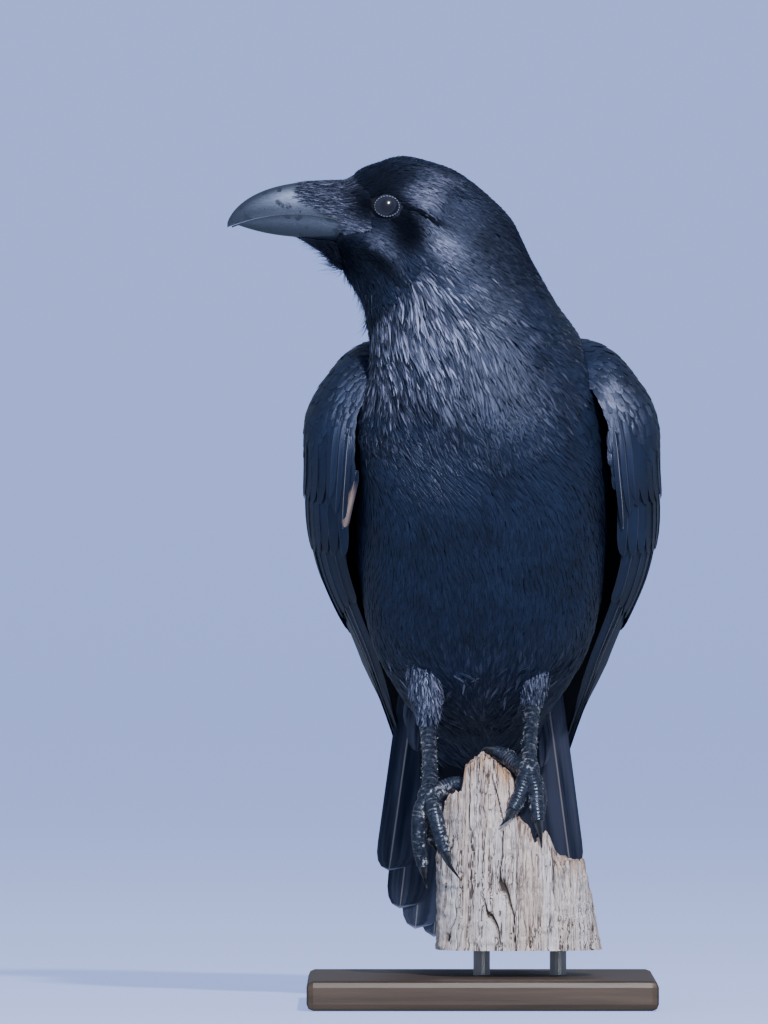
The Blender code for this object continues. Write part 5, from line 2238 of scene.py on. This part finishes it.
@dataclass(frozen=True)
class Legs:
    """Bare shanks, foot pads and toes with overlapping scutes, and curved claws."""

    scales: Finish
    nail: Finish
    tarsus_radii: tuple = (0.0056, 0.0044, 0.0048, 0.0056)
    toe_radii: tuple = (0.0056, 0.005, 0.0046, 0.0038)
    claw_radii: tuple = (0.003, 0.0024, 0.0013, 0.0003)
    pad_radius: float = 0.0078
    tarsus_scute: float = 0.004
    toe_scute: float = 0.0021
    wood_axis: tuple = (0.016, -0.012)

    def scaled(
        self, path: Sequence, radii: Sequence, rows: int, sides: int, spacing: float, front: Array
    ) -> tuple[Array, Array]:
        """A tube whose front carries scutes: a saw in the length run lifts each one's lower edge.

        Args:
            path: The tube's line.
            radii: Radii along it.
            rows: Number of rings.
            sides: Points in a ring.
            spacing: Length of a scute.
            front: The way that the scutes face.

        Returns:
            The rings, and seam and crumbling shares at each point and at both caps.
        """
        rings, out, run = tube(path, radii, rows, sides)
        middle = rings.mean(1, keepdims=True)
        facing = np.clip((out * front).sum(-1), -1, 1)
        scutes = ramp(facing, -0.1, 0.5)
        saw = (run / spacing)[:, None] % 1
        height = (0.06 * saw**1.5 - 0.035) * scutes
        soles = 0.07 * np.cos(run / 0.0105 * tau)[:, None] * ramp(-facing, 0.2, 0.8)
        rings = middle + (rings - middle) * (1 + height + soles)[..., None]
        seam = np.maximum(ramp(saw, 0.8, 0.97), 1 - ramp(saw, 0, 0.07)) * scutes
        flank = bell(facing / 0.34) + 0.35 * ramp(-facing, 0.3, 0.9)
        return rings, with_caps(seam, flank)

    def leg(self, side: Side) -> None:
        """A leg's shank, pad and four toes, as closed bodies in one piece.

        Args:
            side: Which leg.
        """
        limb = LIMBS[side]
        parts = Parts()
        marks = []
        front = np.array((0, -1, 0))
        rings, share = self.scaled(limb.tarsus, self.tarsus_radii, 90, 30, self.tarsus_scute, front)
        parts.add(rings)
        marks.append(share)
        away = np.linspace(0.05, pi - 0.05, 22)[:, None]
        turn = turns(26)[None]
        bumps = 1 + 0.05 * np.sin(5 * turn + 3 * away) * np.sin(away)
        ball = stack(np.sin(away) * np.cos(turn), np.sin(away) * np.sin(turn), np.cos(away))
        parts.add(np.array(limb.pad) + ball * (bumps * self.pad_radius * 0.98)[..., None])
        marks.append(with_caps(ramp(np.sin(away * 9), 0.6, 0.95) * ramp(-ball[..., 1], 0, 0.5), 0.4))
        for joints in limb.toes.values():
            tip = np.array(joints[-1])
            wood = np.array((*self.wood_axis, tip[2] - 0.012))
            front = unit(np.array(joints[1]) - wood)
            rings, share = self.scaled((limb.pad, *joints), self.toe_radii, 84, 22, self.toe_scute, front)
            parts.add(rings)
            marks.append(share)
        piece = parts.piece(f"leg_{side.word}", self.scales)
        marks = join(marks)
        give(piece, "scale", np.column_stack((marks, marks[:, 0])))
        toes = [f"toe_{side.word}_{toe}" for toe in limb.toes]
        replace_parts(piece, f"tarsus_{side.word}", f"foot_{side.word}", *toes)

    def claws(self, side: Side) -> None:
        """A foot's four curved claws, worn at their tips, with a painted highlight down their fronts.

        Args:
            side: Which foot.
        """
        limb = LIMBS[side]
        parts = Parts()
        wear_and_sheen = []
        for toe, joints in limb.toes.items():
            end, (middle, tip) = np.array(joints[-1]), np.array(limb.claws[toe])
            back = end - unit(middle - end) * 0.002
            rings, out, run = tube((back, (end + middle) / 2, middle, tip), self.claw_radii, 40, 20)
            parts.add(rings)
            share = (run / run[-1])[:, None]
            # real wear towards the tip, and a painted highlight down the side facing -Y
            light = ramp(share, 0.75, 1) * 0.5 + 0.3 * ramp(out[..., 1], -0.99, -0.8) * (1 - share)
            wear_and_sheen.append(np.append(light.ravel(), (0, 0)))
        piece = parts.piece(f"claws_{side.word}", self.nail)
        give(piece, "wear_and_sheen", join(wear_and_sheen))
        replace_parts(piece, *(f"claw_{side.word}_{toe}" for toe in limb.toes))

    def flakes(self) -> None:
        """Thin crumbs of shed scale that stand out along both sides of shanks and toes."""
        coat = Coat("leg_flakes", 161)
        for limb in LIMBS.values():
            ways = [(limb.tarsus, self.tarsus_radii, 90)]
            ways += [((limb.pad, *joints), self.toe_radii, 20) for joints in limb.toes.values()]
            for path, radii, count in ways:
                form = LimbForm(path, radii)
                u = coat.chance.uniform(0.35, 2.7, count)
                v = coat.chance.choice((0, pi), count) + coat.chance.normal(0, 0.35, count)
                heading = coat.chance.uniform(-2.5, 2.5, count)
                coat.lay(
                    Kind.TUFT, form, u, v, 0.0013, 0.0004, (0.0002, -0.0005), heading, 0.3, 0.5,
                    pale=1, curl=0.25,
                )
        piece = coat.piece(self.scales)
        give(piece, "scale", np.ones(len(piece.data.vertices)))


@dataclass(frozen=True)
class Perch:
    """The snag: grooved and split along the grain, broken off in splinters at the top."""

    finish: Finish
    foot_z: float = 0.034
    neck_z: float = 0.095
    foot: tuple = (0.0224, -0.0145, 0.0499, 0.0441)
    neck: tuple = (0.019, -0.014, 0.0465, 0.042)
    squareness: float = 2.8
    rim_y: float = -0.033
    back_fall: float = 0.62
    edge: tuple = (
        (-0.028, 0.095), (-0.0245, 0.103), (-0.0224, 0.121), (-0.0195, 0.1272), (-0.012, 0.1286),
        (-0.0102, 0.1435), (-0.0002, 0.152), (0.0074, 0.1471), (0.0143, 0.1426), (0.0189, 0.1364),
        (0.0212, 0.114), (0.0288, 0.1066), (0.0312, 0.098), (0.038, 0.1043), (0.0411, 0.1005),
        (0.0442, 0.0913), (0.0526, 0.0874), (0.0618, 0.0882), (0.066, 0.075),
    )
    sides: int = 480
    rows: int = 150

    def top(self, x: Array, y: Array) -> Array:
        """Height of the broken top: the front edge's outline, falling behind it, with splinters.

        Args:
            x: Places across.
            y: Places from front to back.

        Returns:
            A height for each.
        """
        edge = np.interp(x, *zip(*self.edge))
        behind = np.maximum(0, y - self.rim_y)
        rough = Noise(3).at(x * 260, y * 260) * 0.0016
        rough = rough + Noise(4).at(x * 900, y * 420) * 0.0011
        return np.maximum(edge - self.back_fall * behind + rough, self.neck_z - 0.03)

    def outline(self, f: Array, angle: Array) -> tuple[Array, Array, Array, Array]:
        """Middle and reach of the trunk, a squarish oval, f of the way up from its cut foot.

        Args:
            f: Shares of the height.
            angle: Angles round the trunk.

        Returns:
            X and Y of the middle, and the reach in X and in Y.
        """
        x, y, half_x, half_y = (a + (b - a) * f for a, b in zip(self.foot, self.neck))
        cos, sin = np.cos(angle), np.sin(angle)
        reach = (np.abs(cos) ** self.squareness + np.abs(sin) ** self.squareness) ** (-1 / self.squareness)
        grooves = 1 + (0.012 * np.cos(9 * angle + 0.8) + 0.008 * np.cos(14 * angle + 2)) * f
        return x, y, half_x * reach * grooves * cos, half_y * reach * grooves * sin

    def cracks(self, angle: Array, height: Array) -> tuple[Array, Array]:
        """Depth and painted shade of the splits: narrow valleys of noise that wanders up the trunk.

        Args:
            angle: Angles round the trunk.
            height: Heights in metres.

        Returns:
            Depth in metres and a share of painted shade from 0 to 1.
        """
        wander = angle + 0.1 * Noise(5).at(angle * 2, height * 28)
        wander = wander + 0.03 * Noise(6).at(angle * 5, height * 110)
        wide = np.abs(Noise(7).at(wander * 5, height * 9, 1))
        fine = np.abs(Noise(8).at(wander * 14, height * 16, 2))
        hair = np.abs(Noise(9).at(wander * 36, height * 34, 3))
        valleys = [1 - ramp(n, 0, w) for n, w in ((wide, 0.075), (fine, 0.11), (hair, 0.16))]
        gate = ramp(Noise(10).at(angle * 3, height * 24), -0.35, 0.35)
        ridge = 0.0011 * Noise(13).at(wander * 9, height * 14, 4)
        depth = 0.0034 * valleys[0] + 0.0019 * valleys[1] * gate + 0.0006 * valleys[2] + ridge
        # painted shade, darkest along the deepest valleys
        dark = np.clip(0.95 * valleys[0] ** 2 + 0.8 * valleys[1] ** 2 * gate + 0.25 * valleys[2], 0, 1)
        return depth, dark

    def build(self) -> None:
        """Rings up the trunk to its broken edge, then inwards over the top to its middle."""
        angle = turns(self.sides)[None]
        f = np.linspace(0, 1, self.rows)[:, None]
        x, y, dx, dy = self.outline(f, angle)
        lean, yaw, end_x, end_y = self.outline(np.ones_like(angle), angle)
        rim = self.top(lean + end_x, yaw + end_y)
        z = self.foot_z + f * (rim - self.foot_z)
        depth, dark = self.cracks(angle + 0 * f, z)
        depth = depth * ramp(f, 0, 0.04) + 0.0006 * Noise(11).at(angle * 8, z * 300)
        size = np.hypot(dx, dy)
        side = stack(x + dx * (1 - depth / size), y + dy * (1 - depth / size), z)
        broken = 0.75 * ramp(z - rim, -0.014, 0) + 0.35 * ramp(z, 0.1, 0.14)
        rings, shares = [side], [stack(dark, broken)]
        for shrink in np.linspace(0.975, 0.03, 46):
            x, y, dx, dy = self.outline(np.ones_like(angle), angle)
            drawn = shrink - depth[-1:] / size[-1:]
            x, y = x + dx * drawn, y + dy * drawn
            rings.append(stack(x, y, self.top(x, y)))
            grain = np.abs(Noise(12).at(x * 700, y * 90))
            shares.append(stack(0.5 * (1 - ramp(grain, 0, 0.25)), 0.8))
        piece = closed_piece("snag", join(rings), self.finish)
        crack_shade_and_grain, broken = join(shares).reshape(-1, 2).T
        give(piece, "split", with_caps(crack_shade_and_grain, broken, crack_shade_and_grain))
        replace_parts(piece, "perch")


@dataclass(frozen=True)
class Studio:
    """A pale floor that sweeps up to a wall far all round, soft lights and the camera."""

    radius: float = 16.4
    sweep: float = 1.5
    wall: float = 8
    tone: tuple = (0.3, 0.345, 0.46)
    glow: tuple = (0.325, 0.43, 0.95)
    lens: float = 550
    frame_height: float = 0.6144
    middle: tuple = (-0.0588, 0.2972)
    plane_y: float = -0.05

    def floor(self) -> None:
        """A profile of floor, quarter round and wall, turned about the vertical through the stand.

        It glows a little by itself and lights nothing else, so it stays even behind the object.
        """
        bend = np.linspace(0, pi / 2, 16)
        flat = np.geomspace(0.02, 1, 24) * (self.radius - self.sweep)
        reach = join((flat, self.radius - self.sweep + self.sweep * np.sin(bend)[1:]))
        rise = join((np.zeros(24), self.sweep * (1 - np.cos(bend))[1:]))
        reach, rise = np.append(reach, self.radius), np.append(rise, self.sweep + self.wall)
        angle = turns(96)[None]
        reach, rise = reach[:, None], rise[:, None]
        rings = stack(reach * np.cos(angle), reach * np.sin(angle), rise - 0.0002)
        book = Book(None, "studio_floor")
        cloud = book.noise(1.3, 2)
        near = tuple(c * 1.03 for c in self.tone)
        finish = book.finish({
            "Base Color": book.mix(self.tone, near, cloud), "Roughness": 0.95, "Specular IOR Level": 0.1,
            "Emission Color": (*self.glow, 1), "Emission Strength": 1,
        })
        points = join((rings.reshape(-1, 3), [(0, 0, -0.0002)]))
        k = np.arange(96)
        middle = np.stack((np.full(96, len(points) - 1), k, (k + 1) % 96), -1)
        floor = shaped("floor", points, [grid_faces(len(reach), 96)[:, ::-1], middle])
        floor.data.materials.append(finish.material)
        floor.visible_diffuse = False
        floor.visible_glossy = False
        floor.visible_shadow = False

    def lamp(
        self, name: str, place: Sequence, power: float, size: float, colour: Sequence[float],
        glossy: bool = True,
    ) -> None:
        """A square soft light aimed at the bird's breast, itself unseen.

        Args:
            name: Its name.
            place: Where it hangs.
            power: Its power in watts.
            size: Its side.
            colour: Its colour.
            glossy: Whether it shows in reflections.
        """
        light = bpy.data.lights.new(name, "AREA")
        light.energy = power
        light.size = size
        light.color = colour
        lamp = placed(name, light)
        lamp.location = place
        x, y, z = np.array(place) - np.array((0, -0.02, 0.32))
        lamp.rotation_euler = (math.atan2(math.hypot(x, y), z), 0, math.atan2(x, -y))
        lamp.visible_camera = False
        lamp.visible_glossy = glossy

    def build(self) -> None:
        """Sets floor, lights, sky and camera."""
        self.floor()
        self.lamp("key", (1, -3.5, 2.7), 290, 0.22, (0.98, 0.97, 1))
        self.lamp("front", (-0.5, -5, 0.3), 95, 2, (0.62, 0.77, 1), glossy=False)
        self.lamp("left", (-3, -2.2, 1), 40, 3, (0.66, 0.79, 1), glossy=False)
        self.lamp("bounce", (0.1, -1.6, -1), 24, 2, (0.66, 0.79, 1), glossy=False)
        self.lamp("back", (-0.6, 2.6, 3.2), 25, 1.6, (0.85, 0.9, 1), glossy=False)
        world = bpy.data.worlds.new("studio")
        world.use_nodes = True
        sky = world.node_tree.nodes["Background"].inputs
        sky["Color"].default_value = (0.62, 0.74, 1, 1)
        sky["Strength"].default_value = 0.36
        bpy.context.scene.world = world
        data = bpy.data.cameras.new("camera")
        data.lens = self.lens
        data.clip_end = 100
        camera = placed("camera", data)
        away = self.lens / data.sensor_width * self.frame_height
        camera.location = (self.middle[0], self.plane_y - away, self.middle[1])
        camera.rotation_euler = (pi / 2, 0, 0)
        bpy.context.scene.camera = camera


def main() -> None:
    """Builds the bird from the skin out, then the perch, the stand and the studio."""
    plumage = Plumage().make()
    grey, brown = (0.013, 0.018, 0.032), (0.006, 0.007, 0.011)
    horn = Horn(Slot.BILL, grey, (0.26, 0.3, 0.45), 0.24, (260, 900, 900), 1, 0.9).make()
    nail = Horn(Slot.CLAW, brown, (0.15, 0.16, 0.19), 0.2, (500, 500, 500)).make()
    scales = Scutes().make()
    wet, bare = Eyeball().make(), Lid().make()
    Flesh(Skin().make()).build()
    contour = Contour(plumage)
    contour.head()
    contour.neck()
    contour.trunk(True)
    contour.trunk(False)
    contour.thighs()
    bill = Bill(horn, plumage)
    bill.upper()
    bill.lower()
    bill.bristles()
    bill.beard()
    legs = Legs(scales, nail)
    for side in Side:
        eye = Eye(side, wet, bare)
        eye.ball()
        eye.lids()
        wing = Wing(side, plumage)
        wing.coverts()
        wing.secondaries()
        wing.primaries()
        legs.leg(side)
        legs.claws(side)
    legs.flakes()
    tail = Tail(plumage)
    tail.feathers()
    tail.coverts()
    Perch(DeadWood().make()).build()
    StandWood().make().dress(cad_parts["stand_base"])
    steel = RodSteel().make()
    steel.dress(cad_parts["stand_rod_1"])
    steel.dress(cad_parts["stand_rod_2"])
    Studio().build()


if __name__ == "__main__":
    logging.basicConfig(level=logging.INFO, format="%(name)s: %(message)s", stream=sys.stdout)
    main()
